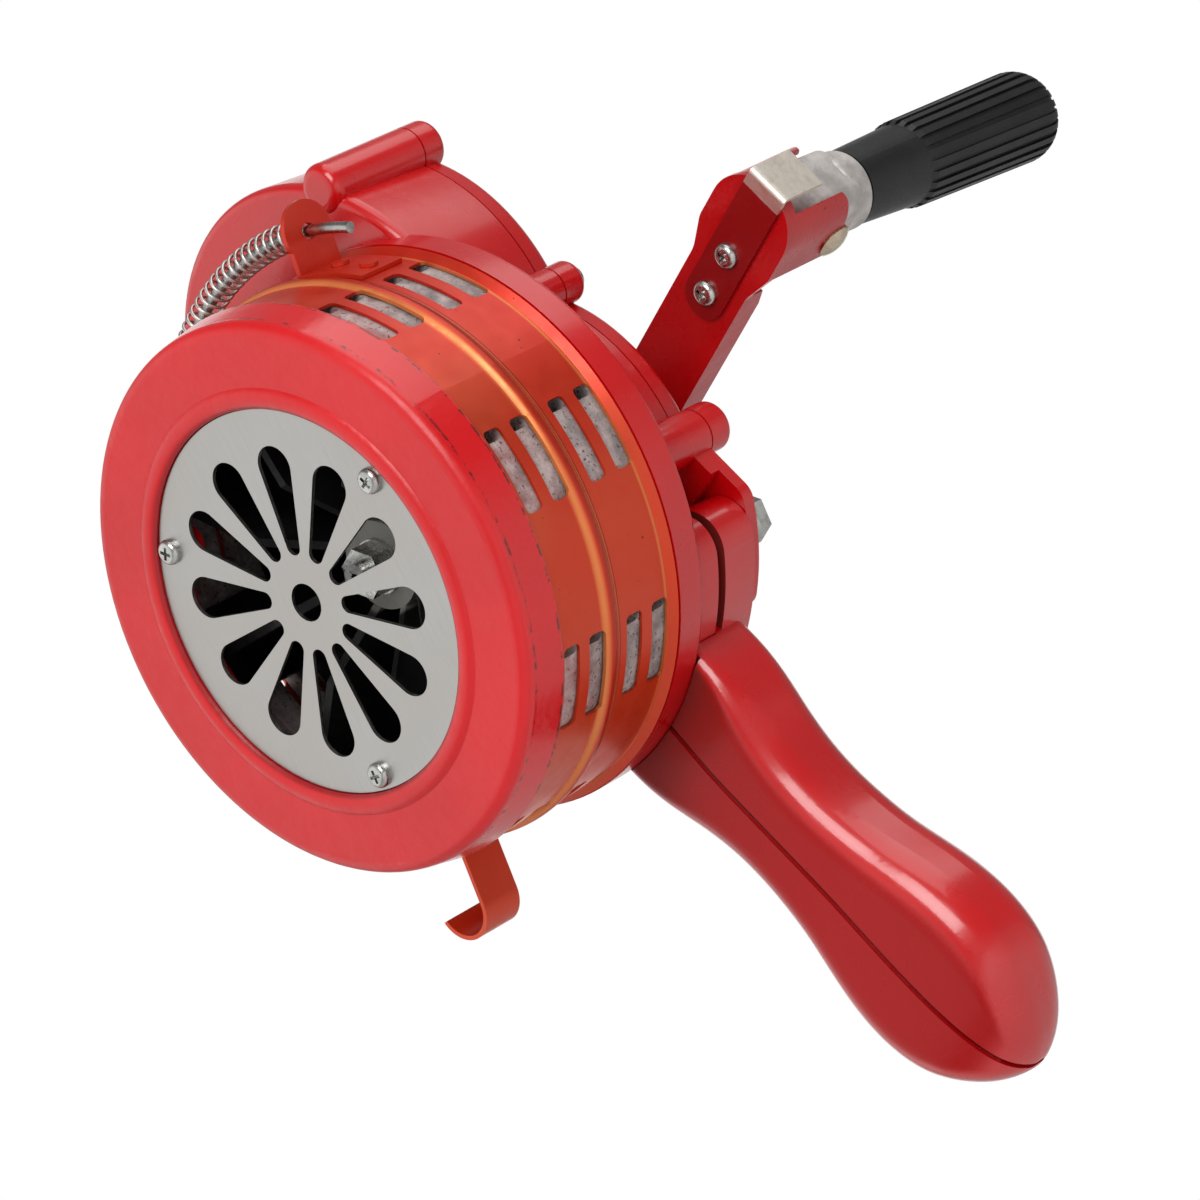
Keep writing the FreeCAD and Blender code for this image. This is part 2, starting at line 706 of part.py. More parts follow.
def rod_anchor():
    """Angle bracket on the front of the gear case; its ear holds the rod."""
    x0, x1 = ROD_R - 0.5 * ANCHOR_W, ROD_R + 0.5 * ANCHOR_W
    ear = box(x0, x1, ROD_Y - 5.0, CASE_FRONT, 0, ANCHOR_T)
    foot = box(x0, x1, CASE_FRONT - ANCHOR_T, CASE_FRONT, 0, ANCHOR_FOOT)
    hole = Part.makeCylinder(ROD_WIRE_R + 2 * SEAT_GAP, 4 * ANCHOR_T, V(ROD_R, ROD_Y, -ANCHOR_T), UP)
    front, rear = CASE_FRONT - 2 * ANCHOR_T, CASE_FRONT + 1.0
    screw_hole = cylinder(ANCHOR_SCREW_R + 0.2, front, rear, ROD_R, ANCHOR_SCREW_OUT)
    return turned(joined([ear, foot]).cut([hole, screw_hole]), ANCHOR_ANGLE)


def anchor_screw():
    screw = moved(pan_screw(ANCHOR_SCREW_R, ANCHOR_T + 2.2), ROD_R, CASE_FRONT - ANCHOR_T, ANCHOR_SCREW_OUT)
    return turned(screw, ANCHOR_ANGLE)


# Return spring
def biarc(p0, t0, p1, t1):
    """Two arcs from p0 along t0 to p1 along t1."""
    chord = p1 - p0
    total = t0 + t1
    a = 2.0 * (1.0 - t0.dot(t1))
    b = chord.dot(total)
    reach = (math.sqrt(b * b + a * chord.dot(chord)) - b) / a
    middle = (p0 + p1 + (t0 - t1) * reach) * 0.5
    return [arc_between(p0, p0 + t0 * reach, middle), arc_between(middle, p1 - t1 * reach, p1)]


def arc_between(start, corner, end):
    weight = 0.5 * (end - start).Length / (corner - start).Length
    through = (start + corner * (2.0 * weight) + end) * (1.0 / (2.0 + 2.0 * weight))
    return Part.Arc(start, through, end).toShape()


def coil_point(degrees, turn):
    """Point of the coil's centre line: place round the drum and turn round the rod."""
    phase = 2.0 * math.pi * turn
    radius = ROD_R + SPRING_MEAN_R * math.cos(phase)
    y = ROD_Y + SPRING_MEAN_R * math.sin(phase)
    x, z = polar(radius, degrees)
    return V(x, y, z)


def return_spring():
    """One unbroken wire: straight tail, coil along the rod, straight tail."""
    wire_d = 2.0 * SPRING_WIRE_R
    per_mm = math.degrees(1.0 / ROD_R)
    face0 = SPRING_FACE0 + 0.05 * per_mm
    face1 = ANCHOR_ANGLE - 0.05 * per_mm
    lead = 2.6
    coil0 = face0 + (wire_d + lead) * per_mm
    coil1 = face1 - (wire_d + lead) * per_mm
    turns = round((coil1 - coil0) / per_mm / SPRING_PITCH)
    quarters = 4 * turns
    step = 1e-4

    def at(t):
        return coil_point(coil0 + (coil1 - coil0) * t, turns * t)

    def heading(t):
        direction = at(t + step) - at(t - step)
        direction.normalize()
        return direction

    def along(degrees):
        x, z = polar(1.0, degrees + 90.0)
        return V(x, 0, z)

    tail0 = coil_point(face0, -0.25)
    tail1 = coil_point(face1, turns + 0.25)
    root0 = tail0 + along(face0) * wire_d
    root1 = tail1 - along(face1) * wire_d
    edges = [Part.makeLine(tail0, root0)]
    edges += biarc(root0, along(face0), at(0.0), heading(0.0))
    for i in range(quarters):
        t0, t1 = i / quarters, (i + 1) / quarters
        edges += biarc(at(t0), heading(t0), at(t1), heading(t1))
    edges += biarc(at(1.0), heading(1.0), root1, along(face1))
    edges.append(Part.makeLine(root1, tail1))
    path = Part.Wire(edges)
    section = Part.Wire([Part.makeCircle(SPRING_WIRE_R, tail0, along(face0))])
    spring = path.makePipeShell([section], True, False)
    report_spring(path, spring, turns)
    return spring


def report_spring(path, spring, turns):
    points = []
    length = 0.0
    for edge in path.OrderedEdges:
        count = max(3, int(edge.Length / 0.25))
        for i in range(count):
            at = edge.getParameterByLength(edge.Length * i / count)
            points.append((length + edge.Length * i / count, edge.valueAt(at)))
        length += edge.Length
    least = 1e9
    for i, (s0, p0) in enumerate(points):
        for s1, p1 in points[i + 1:i + 260]:
            if s1 - s0 > 8.0:
                least = min(least, (p1 - p0).Length)
    tightest = min(edge.Curve.Radius for edge in path.Edges if hasattr(edge.Curve, "Radius"))
    section = math.pi * SPRING_WIRE_R ** 2
    print("return_spring: turns %d, least gap to itself %.2f mm" % (turns, least - 2.0 * SPRING_WIRE_R))
    print("return_spring: tightest arc %.2f mm, wire radius %.2f mm" % (tightest, SPRING_WIRE_R))
    print("return_spring: volume %.1f, section by length %.1f" % (spring.Volume, section * length))


# Gear case
def draft(y):
    """How much the housing's sides have come in at a depth."""
    if y <= CASE_END:
        return CASE_DRAFT * (y - CASE_FRONT)
    return CASE_DRAFT * (CASE_END - CASE_FRONT) + COVER_DRAFT * (y - CASE_END)


def lobe(radius, z, y0, y1):
    return Part.makeCone(radius - draft(y0), radius - draft(y1), y1 - y0, V(0, y0, z), AHEAD)


def lobes(inset, y0, y1):
    upper = lobe(UPPER_LOBE_R - inset, CENTRE_DISTANCE, y0, y1)
    return upper.fuse(lobe(LOWER_LOBE_R - inset, 0.0, y0, y1)).removeSplitter()


def column_places():
    return [(side * x, z, r) for x, z, r in COLUMNS for side in (1, -1)]


def column_holes(radius, y0, y1):
    return [cylinder(radius, y0, y1, x, z) for x, z, r in column_places()]


def bolt_places():
    return [(side * BOLT_X, BOLT_Z) for side in (1, -1)]


def ear(side, inner_r, y0, y1, start):
    """Arm along the lower lobe with its round end about the bolt."""
    arm = sector(inner_r, YOKE_OUTER_R, y0, y1, start, -BOLT_ANGLE - start)
    body = joined([arm, cylinder(EAR_R, y0, y1, BOLT_X, BOLT_Z)])
    return body if side > 0 else mirrored(body)


def ear_plate(side):
    """Plate from the lowest column past the bolt, behind the handle's ear."""
    front = CASE_END - EAR_PLATE_T
    plate = sector(LOWER_LOBE_R - CASE_WALL, EAR_PLATE_R, front, CASE_END,
                   -EAR_PLATE_LOW, EAR_PLATE_LOW - EAR_PLATE_HIGH)
    plate = plate.common(box(0.0, EAR_PLATE_X, front, CASE_END, -EAR_PLATE_R, 0.0))
    bend = (EAR_PLATE_X, -math.sqrt(EAR_PLATE_R ** 2 - EAR_PLATE_X ** 2))
    corners = [bend, polar(EAR_PLATE_R, -EAR_PLATE_LOW)]

    def at_corner(edge):
        bounds = edge.BoundBox
        return bounds.YLength > 1.0 and any(
            math.hypot(bounds.XMin - x, bounds.ZMin - z) + bounds.XLength + bounds.ZLength < 0.01
            for x, z in corners)

    plate = plate.makeFillet(EAR_PLATE_CORNER, edges_where(plate, at_corner))
    ear_top = BOLT_Z + EAR_R + 2.0 * HANDLE_CLEAR
    gusset = sector(LOWER_LOBE_R - CASE_WALL, EAR_PLATE_R, front - EAR_GUSSET, front,
                    -EAR_PLATE_LOW, EAR_PLATE_LOW - EAR_PLATE_HIGH)
    gusset = gusset.common(box(0.0, EAR_PLATE_X, front - EAR_GUSSET, front, ear_top, 0.0))
    plate = joined([plate, gusset])
    return plate if side > 0 else mirrored(plate)


def column_webs(y0, y1):
    """Slabs that tie the columns to the nearer lobe."""
    webs = []
    for x, z, r in column_places():
        lobe_z = CENTRE_DISTANCE if z > 0.5 * CENTRE_DISTANCE else 0.0
        angle = math.degrees(math.atan2(z - lobe_z, x))
        reach = math.hypot(x, z - lobe_z)
        web = box(LOWER_LOBE_R - CASE_WALL, reach, y0, y1, -COLUMN_WEB * r, COLUMN_WEB * r)
        webs.append(moved(turned(web, angle), 0, 0, lobe_z))
    return webs


def case_column(x, z, r):
    """Screw column; it starts on the flange, or with a dome where it stands outside it."""
    if math.hypot(x, z) < FLANGE_R:
        return cylinder(r, FLANGE_END - 1.0, CASE_END, x, z)
    front = CASE_FRONT - COLUMN_OUT
    column = cylinder(r, front, CASE_END, x, z)
    return column.makeFillet(COLUMN_DOME, edges_where(column, lambda e: in_plane_y(e, front)))


def gear_case():
    shell = lobes(0.0, CASE_FRONT, CASE_END)
    shell = shell.makeFillet(CASE_EDGE, edges_where(shell, lambda e: in_plane_y(e, CASE_FRONT)))
    flange = cylinder(FLANGE_R, DRUM_END, FLANGE_END)
    rim = edges_where(flange, lambda e: in_plane_y(e, FLANGE_END) and len(e.Vertexes) == 1)
    flange = flange.makeFillet(FLANGE_EDGE, rim)
    pieces = [shell, flange] + [case_column(x, z, r) for x, z, r in column_places()]
    pieces += column_webs(FLANGE_END - 1.0, CASE_END)
    for side in (1, -1):
        pieces.append(ear_plate(side))
        pieces.append(ear(side, LOWER_LOBE_R - CASE_WALL, FLANGE_END - 1.0, CASE_LUG_END, -90.0))
    body = joined(pieces).cut(lobes(CASE_WALL, FLANGE_END - CASE_WALL, CASE_END + 1.0))
    bush0, bush1 = counter_bush_front()
    bearing_boss = cylinder(BEARING_R + BEARING_BOSS_WALL, DRUM_END + 1.0, BEARING_END + 0.3)
    counter_boss = cylinder(COUNTER_BOSS_R, DRUM_END + 1.0, bush1, 0, CENTRE_DISTANCE)
    body = joined([body, bearing_boss, counter_boss])
    cuts = [cylinder(BEARING_R + RUN_GAP, DRUM_END - 1.0, BEARING_FRONT + BEARING_W + 0.1)]
    cuts.append(cylinder(BEARING_R - 2.0, DRUM_END, BEARING_END))
    cuts.append(cylinder(BEARING_R + RUN_GAP, BEARING2_FRONT - 0.1, BEARING_END + 1.0))
    cuts.append(cylinder(COUNTER_BUSH_R + RUN_GAP, bush0 - 0.1, bush1 + 1.0, 0, CENTRE_DISTANCE))
    cuts += column_holes(COVER_SCREW_R + SEAT_GAP, CASE_END - COVER_SCREW_GRIP - 2.0, CASE_END + 1.0)
    for x, z in drum_screw_places():
        cuts.append(cylinder(DRUM_SCREW_R + SEAT_GAP, DRUM_END - 1.0, FLANGE_END + 1.0, x, z))
    for x, z in bolt_places():
        cuts.append(cylinder(BOLT_R + SEAT_GAP, BOLT_FRONT - 0.5, CASE_END + 1.0, x, z))
    front, rear = CASE_FRONT - 1.0, CASE_FRONT + 2.6
    anchor_hole = cylinder(ANCHOR_SCREW_R + SEAT_GAP, front, rear, ROD_R, ANCHOR_SCREW_OUT)
    cuts.append(turned(anchor_hole, ANCHOR_ANGLE))
    return body.cut(cuts)


def cover_gasket():
    outline = lobes(GASKET_INSET, CASE_END, COVER_START)
    rings = [cylinder(r - GASKET_INSET, CASE_END, COVER_START, x, z) for x, z, r in column_places()]
    holes = column_holes(COVER_SCREW_R + 0.3, CASE_END - 1.0, COVER_START + 1.0)
    inner = lobes(CASE_WALL, CASE_END - 1.0, COVER_START + 1.0)
    return joined([outline] + rings + column_webs(CASE_END, COVER_START)).cut(inner).cut(holes)


def edged_post(radius, y0, y1, edge, x=0.0, z=0.0):
    """Round post along Y with its rear edge rounded."""
    post = cylinder(radius, y0, y1, x, z)
    return post.makeFillet(edge, edges_where(post, lambda e: in_plane_y(e, y1)))


def gear_cover():
    shell = lobes(0.0, COVER_START, COVER_END)
    shell = shell.makeFillet(COVER_EDGE, edges_where(shell, lambda e: in_plane_y(e, COVER_END)))
    column_end = COVER_END + COLUMN_TOP
    columns = [edged_post(r, COVER_START, column_end, COLUMN_EDGE, x, z) for x, z, r in column_places()]
    body = joined([shell] + columns + column_webs(COVER_START, COVER_END - COVER_EDGE))
    body = body.cut(lobes(CASE_WALL, COVER_START - 1.0, COVER_END - COVER_WALL))
    bush0, bush1 = counter_bush_rear()
    boss_start = COVER_START + 0.5
    crank_boss = edged_post(CRANK_BOSS_R, boss_start, CRANK_BOSS_END, 1.5)
    counter_boss = edged_post(COUNTER_BOSS_R, boss_start, bush1 + 1.2, 1.5, 0, CENTRE_DISTANCE)
    body = joined([body, crank_boss, counter_boss])
    cuts = [cylinder(CRANK_BUSH_R + RUN_GAP, COVER_START - 1.0, CRANK_BOSS_END + 1.0)]
    cuts.append(cylinder(COUNTER_BUSH_R + RUN_GAP, bush0 - 2.0, bush1 + 0.1, 0, CENTRE_DISTANCE))
    cuts += column_holes(COVER_SCREW_R + 0.3, COVER_START - 1.0, column_end + 1.0)
    return body.cut(cuts)


def cover_screws():
    length = COLUMN_TOP + COVER_DEPTH + GASKET_T + COVER_SCREW_GRIP
    screw = moved(facing_rear(pan_screw(COVER_SCREW_R, length)), 0, COVER_END + COLUMN_TOP, 0)
    return [moved(screw, x, 0, z) for x, z, r in column_places()]


def rotor_bearings():
    rings = []
    for front in (BEARING_FRONT, BEARING2_FRONT):
        ring = tube(BEARING_R, ROTOR_SHAFT_R + RUN_GAP, front, front + BEARING_W)
        groove = tube(BEARING_R - 2.4, ROTOR_SHAFT_R + 2.2, front - 1.0, front + 0.8)
        rings.append(ring.cut(groove))
    return rings


def counter_bush_front():
    end = COUNTER_GEAR_Y - 0.8
    return end - COUNTER_BUSH_L, end


def counter_bush_rear():
    start = COVER_START + 1.0
    return start, start + COUNTER_BUSH_L


def countershaft_bush(span):
    return tube(COUNTER_BUSH_R, COUNTER_R + RUN_GAP, span[0], span[1], 0, CENTRE_DISTANCE)


def crank_bush():
    flange = tube(CRANK_BUSH_R + 2.5, CRANK_R + RUN_GAP, CRANK_BOSS_END, CRANK_BOSS_END + 1.5)
    sleeve = tube(CRANK_BUSH_R, CRANK_R + RUN_GAP, COVER_START + 0.5, CRANK_BOSS_END)
    return joined([sleeve, flange])


# Gears
def involute(angle):
    return math.tan(angle) - angle


def tooth_half_angle(teeth, radius):
    """Half of a tooth's angle at a radius, in radians, less half the backlash."""
    pressure = math.radians(20.0)
    pitch_r = 0.5 * MODULE * teeth
    base_r = pitch_r * math.cos(pressure)
    at_r = math.acos(min(1.0, base_r / radius))
    half = 0.5 * math.pi / teeth + involute(pressure) - involute(at_r)
    return half - 0.25 * BACKLASH / pitch_r


def gear(teeth, bore, y0, y1, tooth_at, z=0.0):
    """Spur gear round (0, z) with a tooth centred on the angle tooth_at."""
    pitch_r = 0.5 * MODULE * teeth
    radii = (pitch_r - 1.25 * MODULE, pitch_r - 0.45 * MODULE, pitch_r + 0.3 * MODULE, pitch_r + MODULE)
    corners = []
    for i in range(teeth):
        middle = math.radians(tooth_at) + 2.0 * math.pi * i / teeth
        flank = [(r, tooth_half_angle(teeth, r)) for r in radii]
        for r, half in flank:
            corners.append((r * math.cos(middle - half), z + r * math.sin(middle - half), 0.0))
        for r, half in reversed(flank):
            corners.append((r * math.cos(middle + half), z + r * math.sin(middle + half), 0.0))
    body = prism_y(corners, y0, y1)
    return body.cut(cylinder(bore, y0 - 1.0, y1 + 1.0, 0, z))


def lightened(wheel, y0, y1, z=0.0):
    """Six round holes in the web of a large gear."""
    holes = []
    for i in range(6):
        x, dz = polar(0.58 * WHEEL_TIP, 60.0 * i)
        holes.append(cylinder(0.15 * WHEEL_TIP, y0 - 1.0, y1 + 1.0, x, z + dz))
    return wheel.cut(holes)


def rotor_pinion():
    tooth = 90.0 + 180.0 / PINION_TEETH
    end = ROTOR_PINION_Y + GEAR_W + PINION_EXTRA
    return gear(PINION_TEETH, ROTOR_SHAFT_R + 0.02, ROTOR_PINION_Y, end, tooth)


def countershaft_gear():
    end = COUNTER_GEAR_Y + GEAR_W
    wheel = gear(WHEEL_TEETH, COUNTER_R + 0.02, COUNTER_GEAR_Y, end, -90.0, CENTRE_DISTANCE)
    return lightened(wheel, COUNTER_GEAR_Y, end, CENTRE_DISTANCE)


def countershaft_pinion():
    tooth = -90.0 + 180.0 / PINION_TEETH
    end = CRANK_GEAR_Y + GEAR_W + 0.5 * PINION_EXTRA
    return gear(PINION_TEETH, COUNTER_R + 0.02, COUNTER_PINION_Y, end, tooth, CENTRE_DISTANCE)


def crank_gear():
    wheel = gear(WHEEL_TEETH, CRANK_R + 0.02, CRANK_GEAR_Y, CRANK_GEAR_Y + GEAR_W, 90.0)
    return lightened(wheel, CRANK_GEAR_Y, CRANK_GEAR_Y + GEAR_W)


# Rotor
def impeller():
    plate = tube(IMPELLER_R, ROTOR_SHAFT_R + 0.02, IMPELLER_END - IMPELLER_PLATE, IMPELLER_END)
    hub = tube(HUB_R, ROTOR_SHAFT_R + 0.02, HUB_FRONT, IMPELLER_END)
    back = IMPELLER_END - 0.5 * IMPELLER_PLATE
    outer = IMPELLER_R - 0.5 * RIM_T
    pieces = [plate, hub]
    for i in range(VANES):
        angle = i * 360.0 / VANES + 0.5 * 360.0 / VANES
        vane = prism_z([
            (HUB_R - 1.0, HUB_FRONT + 1.0, 0.0),
            (2.4 * HUB_R, IMPELLER_FRONT + 3.0, 0.0),
            (outer, IMPELLER_FRONT + 0.5, 0.0),
            (outer, back, 0.0),
            (HUB_R - 1.0, back, 0.0),
        ], -0.5 * VANE_T, 0.5 * VANE_T)
        rim = sector(IMPELLER_R - RIM_T, IMPELLER_R, IMPELLER_FRONT, back, -0.5 * RIM_SPAN, RIM_SPAN)
        pieces += [turned(vane, angle), turned(rim, angle)]
    return joined(pieces)


def rotor_shaft():
    end = ROTOR_PINION_Y + GEAR_W + PINION_EXTRA
    shaft = cylinder(ROTOR_SHAFT_R, ROTOR_SHAFT_FRONT, end)
    shoulder = tube(ROTOR_SHAFT_R + 1.6, ROTOR_SHAFT_R - 0.5, IMPELLER_END, BEARING_FRONT - 0.1)
    centre = cylinder(1.3, ROTOR_SHAFT_FRONT - 1.0, ROTOR_SHAFT_FRONT + 4.0)
    return joined([shaft, shoulder]).cut(centre)


def impeller_washer():
    return tube(8.0, ROTOR_SHAFT_R + SEAT_GAP, HUB_FRONT - 1.6, HUB_FRONT)


def impeller_nut():
    front, rear = HUB_FRONT - 1.6 - ROTOR_NUT_H, HUB_FRONT - 1.6
    return hexagon(ROTOR_NUT_AF, front, rear).cut(cylinder(ROTOR_SHAFT_R + 0.02, front - 1.0, rear + 1.0))


def countershaft():
    front, rear = counter_bush_front()[0] + 0.1, counter_bush_rear()[1] - 0.1
    return cylinder(COUNTER_R, front, rear, 0, CENTRE_DISTANCE)


# Crank
def crank_nut_y():
    front = ARM_BACK + CRANK_WASHER_T
    return front, front + CRANK_NUT_H


def crank_shaft():
    start = CRANK_GEAR_Y - 0.5
    end = crank_nut_y()[1] + 0.8
    shaft = cylinder(CRANK_R, start, ARM_FRONT)
    collar = tube(CRANK_R + 3.0, CRANK_R - 1.0, CRANK_BOSS_END + 1.7, ARM_FRONT)
    thrust = tube(CRANK_R + 3.0, CRANK_R - 1.0, CRANK_GEAR_Y + GEAR_W, COVER_START + 0.3)
    thread = cylinder(CRANK_THREAD_R, ARM_FRONT - 1.0, end)
    return joined([shaft, collar, thrust, thread])


def crank_arm():
    """Pressed channel: web in front, flanges to the rear, round lobe over the hinge."""
    neck = LOBE_START - 8.0
    web = prism_y([
        (-ARM_HALF, -ARM_HALF, ARM_HALF - 0.1),
        (neck, -ARM_HALF, 12.0),
        (LOBE_START + 2.0, -LOBE_HALF, 8.0),
        (LOBE_END, -LOBE_HALF, LOBE_HALF - 0.1),
        (LOBE_END, LOBE_HALF, LOBE_HALF - 0.1),
        (LOBE_START + 2.0, LOBE_HALF, 8.0),
        (neck, ARM_HALF, 12.0),
        (-ARM_HALF, ARM_HALF, ARM_HALF - 0.1),
    ], ARM_FRONT, ARM_BACK)
    pieces = [web]
    for side in (1, -1):
        inner, outer = side * (ARM_HALF - ARM_T), side * ARM_HALF
        z0, z1 = min(inner, outer), max(inner, outer)
        pieces.append(prism_z([
            (0.0, ARM_BACK - 1.0, 0.0),
            (neck, ARM_BACK - 1.0, 0.0),
            (neck, ARM_FRONT + 0.8 * ARM_DEPTH, 0.0),
            (neck - 6.0, ARM_FRONT + ARM_DEPTH, 0.0),
            (0.0, ARM_FRONT + ARM_DEPTH, 0.0),
        ], z0, z1))
    body = joined(pieces)
    holes = [cylinder(CRANK_THREAD_R + SEAT_GAP, ARM_FRONT - 1.0, ARM_BACK + 1.0)]
    for x in LATCH_SCREW_X:
        holes.append(cylinder(LATCH_SCREW_R + SEAT_GAP, ARM_FRONT - 1.0, ARM_BACK + 1.0, x))
    return body.cut(holes)


def crank_washer():
    return tube(7.4, CRANK_THREAD_R + SEAT_GAP, ARM_BACK, ARM_BACK + CRANK_WASHER_T)


def crank_nut():
    front, rear = crank_nut_y()
    return hexagon(CRANK_NUT_AF, front, rear).cut(cylinder(CRANK_THREAD_R + 0.02, front - 1.0, rear + 1.0))


def bracket_outline(half, y0, y1):
    """Flat sides that run into a half round along the arm's lobe."""
    start, end = PIN_X - BRACKET_NOSE_R, BRACKET_BEND_X + half
    corners = [(start, -half, 0.0), (end, -half, half - 0.1), (end, half, half - 0.1), (start, half, 0.0)]
    return prism_y(corners, y0, y1)


def hinge_bracket():
    """Tail in the channel, web behind the lobe, and two cheeks that curve in along it."""
    nose = BRACKET_NOSE_R
    tail_half = ARM_HALF - ARM_T - 0.4
    tail_end = PIN_X - nose + 1.0
    tail = prism_y([
        (BRACKET_TAIL_X, -tail_half, 4.0),
        (tail_end, -tail_half, 0.0),
        (tail_end, tail_half, 0.0),
        (BRACKET_TAIL_X, tail_half, 4.0),
    ], ARM_BACK, BRACKET_BACK)
    web = bracket_outline(BRACKET_HALF, ARM_BACK, BRACKET_BACK)
    rear = PIN_Y + nose + 1.0
    shell = bracket_outline(BRACKET_HALF, ARM_BACK, rear)
    shell = shell.cut(bracket_outline(BRACKET_HALF - BRACKET_T, BRACKET_BACK, rear + 1.0))
    far = BRACKET_BEND_X + BRACKET_HALF
    shell = shell.cut(box(BRACKET_BEND_X, far + 1.0, BRACKET_BACK, rear + 1.0, -BRACKET_OPEN, BRACKET_OPEN))
    cheek_end = BRACKET_BEND_X + math.sqrt(BRACKET_HALF ** 2 - BRACKET_OPEN ** 2) + 0.4
    side_view = prism_z([
        (PIN_X - nose, ARM_BACK, 0.0),
        (cheek_end, ARM_BACK, 0.0),
        (cheek_end, BRACKET_END, BRACKET_CORNER),
        (PIN_X, BRACKET_END, 0.0),
        (PIN_X - nose, PIN_Y, 0.0),
    ], -BRACKET_HALF, BRACKET_HALF)
    nose_round = Part.makeCylinder(nose, 2.0 * BRACKET_HALF, V(PIN_X, PIN_Y, -BRACKET_HALF), UP)
    cheeks = shell.common(joined([side_view, nose_round]))
    body = joined([tail, web, cheeks])
    reach = 2.0 * BRACKET_HALF
    holes = [Part.makeCylinder(PIN_R + SEAT_GAP, 2.0 * reach, V(PIN_X, PIN_Y, -reach), UP)]
    for x in LATCH_SCREW_X:
        holes.append(cylinder(LATCH_SCREW_R + SEAT_GAP, ARM_BACK - 1.0, BRACKET_BACK + 1.0, x))
    return body.cut(holes)


def hinge_pin():
    reach = BRACKET_HALF + 0.05
    pin = Part.makeCylinder(PIN_R, 2.0 * reach, V(PIN_X, PIN_Y, -reach), UP)
    pieces = [pin]
    rim = reach + 0.25 * PIN_HEAD_H
    rise = 0.75 * PIN_HEAD_H
    ball_r = (PIN_HEAD_R ** 2 + rise ** 2) / (2.0 * rise)
    half = 0.5 * math.asin(PIN_HEAD_R / ball_r)
    through = (ball_r * math.sin(half), rim + rise - ball_r * (1.0 - math.cos(half)))
    profile = [(0, reach), (PIN_HEAD_R, reach), (PIN_HEAD_R, rim), (through, (0, rim + rise))]
    for side in (1, -1):
        face = Part.Face(wire_of(profile, lambda r, h: V(PIN_X + r, PIN_Y, side * h)))
        pieces.append(face.revolve(V(PIN_X, PIN_Y, 0), UP, 360))
    return joined(pieces)


def latch_spring():
    """Strip on the arm's front, bent to the rear past the bracket's end."""
    front = ARM_FRONT - LATCH_T
    strip = prism_z([
        (LATCH_X0, front, 0.0),
        (LATCH_X1, front, LATCH_BEND_R),
        (LATCH_X1, LATCH_END, 0.0),
        (LATCH_X1 - LATCH_T, LATCH_END, 0.0),
        (LATCH_X1 - LATCH_T, ARM_FRONT, LATCH_BEND_R - LATCH_T),
        (LATCH_X0, ARM_FRONT, 0.0),
    ], -LATCH_HALF, LATCH_HALF)
    outline = prism_y([
        (LATCH_X0, -LATCH_HALF, LATCH_HALF - 0.1),
        (LATCH_X1 + 1.0, -LATCH_HALF, 0.0),
        (LATCH_X1 + 1.0, LATCH_HALF, 0.0),
        (LATCH_X0, LATCH_HALF, LATCH_HALF - 0.1),
    ], front - 1.0, LATCH_END + 1.0)
    holes = [cylinder(LATCH_SCREW_R + SEAT_GAP, front - 1.0, ARM_BACK, x) for x in LATCH_SCREW_X]
    return strip.common(outline).cut(holes)


def latch_screws():
    seat = ARM_FRONT - LATCH_T
    screw = pan_screw(LATCH_SCREW_R, BRACKET_BACK - seat + 2.0)
    return [moved(screw, x, seat, 0) for x in LATCH_SCREW_X]


# Folding grip
def leaning(shape):
    """Drawn along the siren's axis, then leant over about the hinge pin."""
    shape.rotate(V(PIN_X, PIN_Y, 0), UP, GRIP_LEAN)
    return shape


def grip_ferrule():
    """Block between the cheeks, round about the pin and with a round collar behind."""
    half, cam, corner = FERRULE_HALF, FERRULE_CAM_R, FERRULE_CORNER
    lean = corner * (1 - math.sqrt(0.5))
    profile = [
        (0, -half),
        (cam - corner, -half),
        ((cam - lean, lean - half), (cam, corner - half)),
        (cam, half - corner),
        ((cam - lean, half - lean), (cam - corner, half)),
        (0, half),
    ]
    face = Part.Face(wire_of(profile, lambda r, h: V(PIN_X + r, PIN_Y, h)))
    round_end = face.revolve(V(PIN_X, PIN_Y, 0), UP, 360)
    block = rounded_box(PIN_X - cam, PIN_X + cam, PIN_Y, COLLAR_FRONT + 2.0, half, corner)
    collar = cylinder(COLLAR_R, COLLAR_FRONT, COLLAR_END, GRIP_X)
    rims = edges_where(collar, lambda e: in_plane_y(e, COLLAR_END) or in_plane_y(e, COLLAR_FRONT))
    collar = collar.makeFillet(COLLAR_EDGE, rims)
    pin_hole = Part.makeCylinder(PIN_R + RUN_GAP, 4.0 * half, V(PIN_X, PIN_Y, -2.0 * half), UP)
    bore = cylinder(SPINDLE_R + 0.02, PIN_Y + PIN_R + 2.0, COLLAR_END + 1.0, GRIP_X)
    return leaning(joined([round_end, block, collar]).cut([pin_hole, bore]))


def grip_spindle():
    rod = cylinder(SPINDLE_R, PIN_Y + PIN_R + 2.1, SPINDLE_END, GRIP_X)
    groove = tube(SPINDLE_R + 1.0, SPINDLE_R - 0.8, CLIP_Y, CLIP_Y + CLIP_T, GRIP_X)
    return leaning(rod.cut(groove))


def spindle_clip():
    """Open snap ring in the spindle's groove."""
    ring = tube(CLIP_R, SPINDLE_R - 0.75, CLIP_Y + 0.1, CLIP_Y + CLIP_T - 0.1, GRIP_X)
    gap = box(GRIP_X + 1.0, GRIP_X + CLIP_R + 1.0, CLIP_Y, CLIP_Y + CLIP_T, -0.4 * SPINDLE_R, 0.4 * SPINDLE_R)
    return leaning(ring.cut(gap))


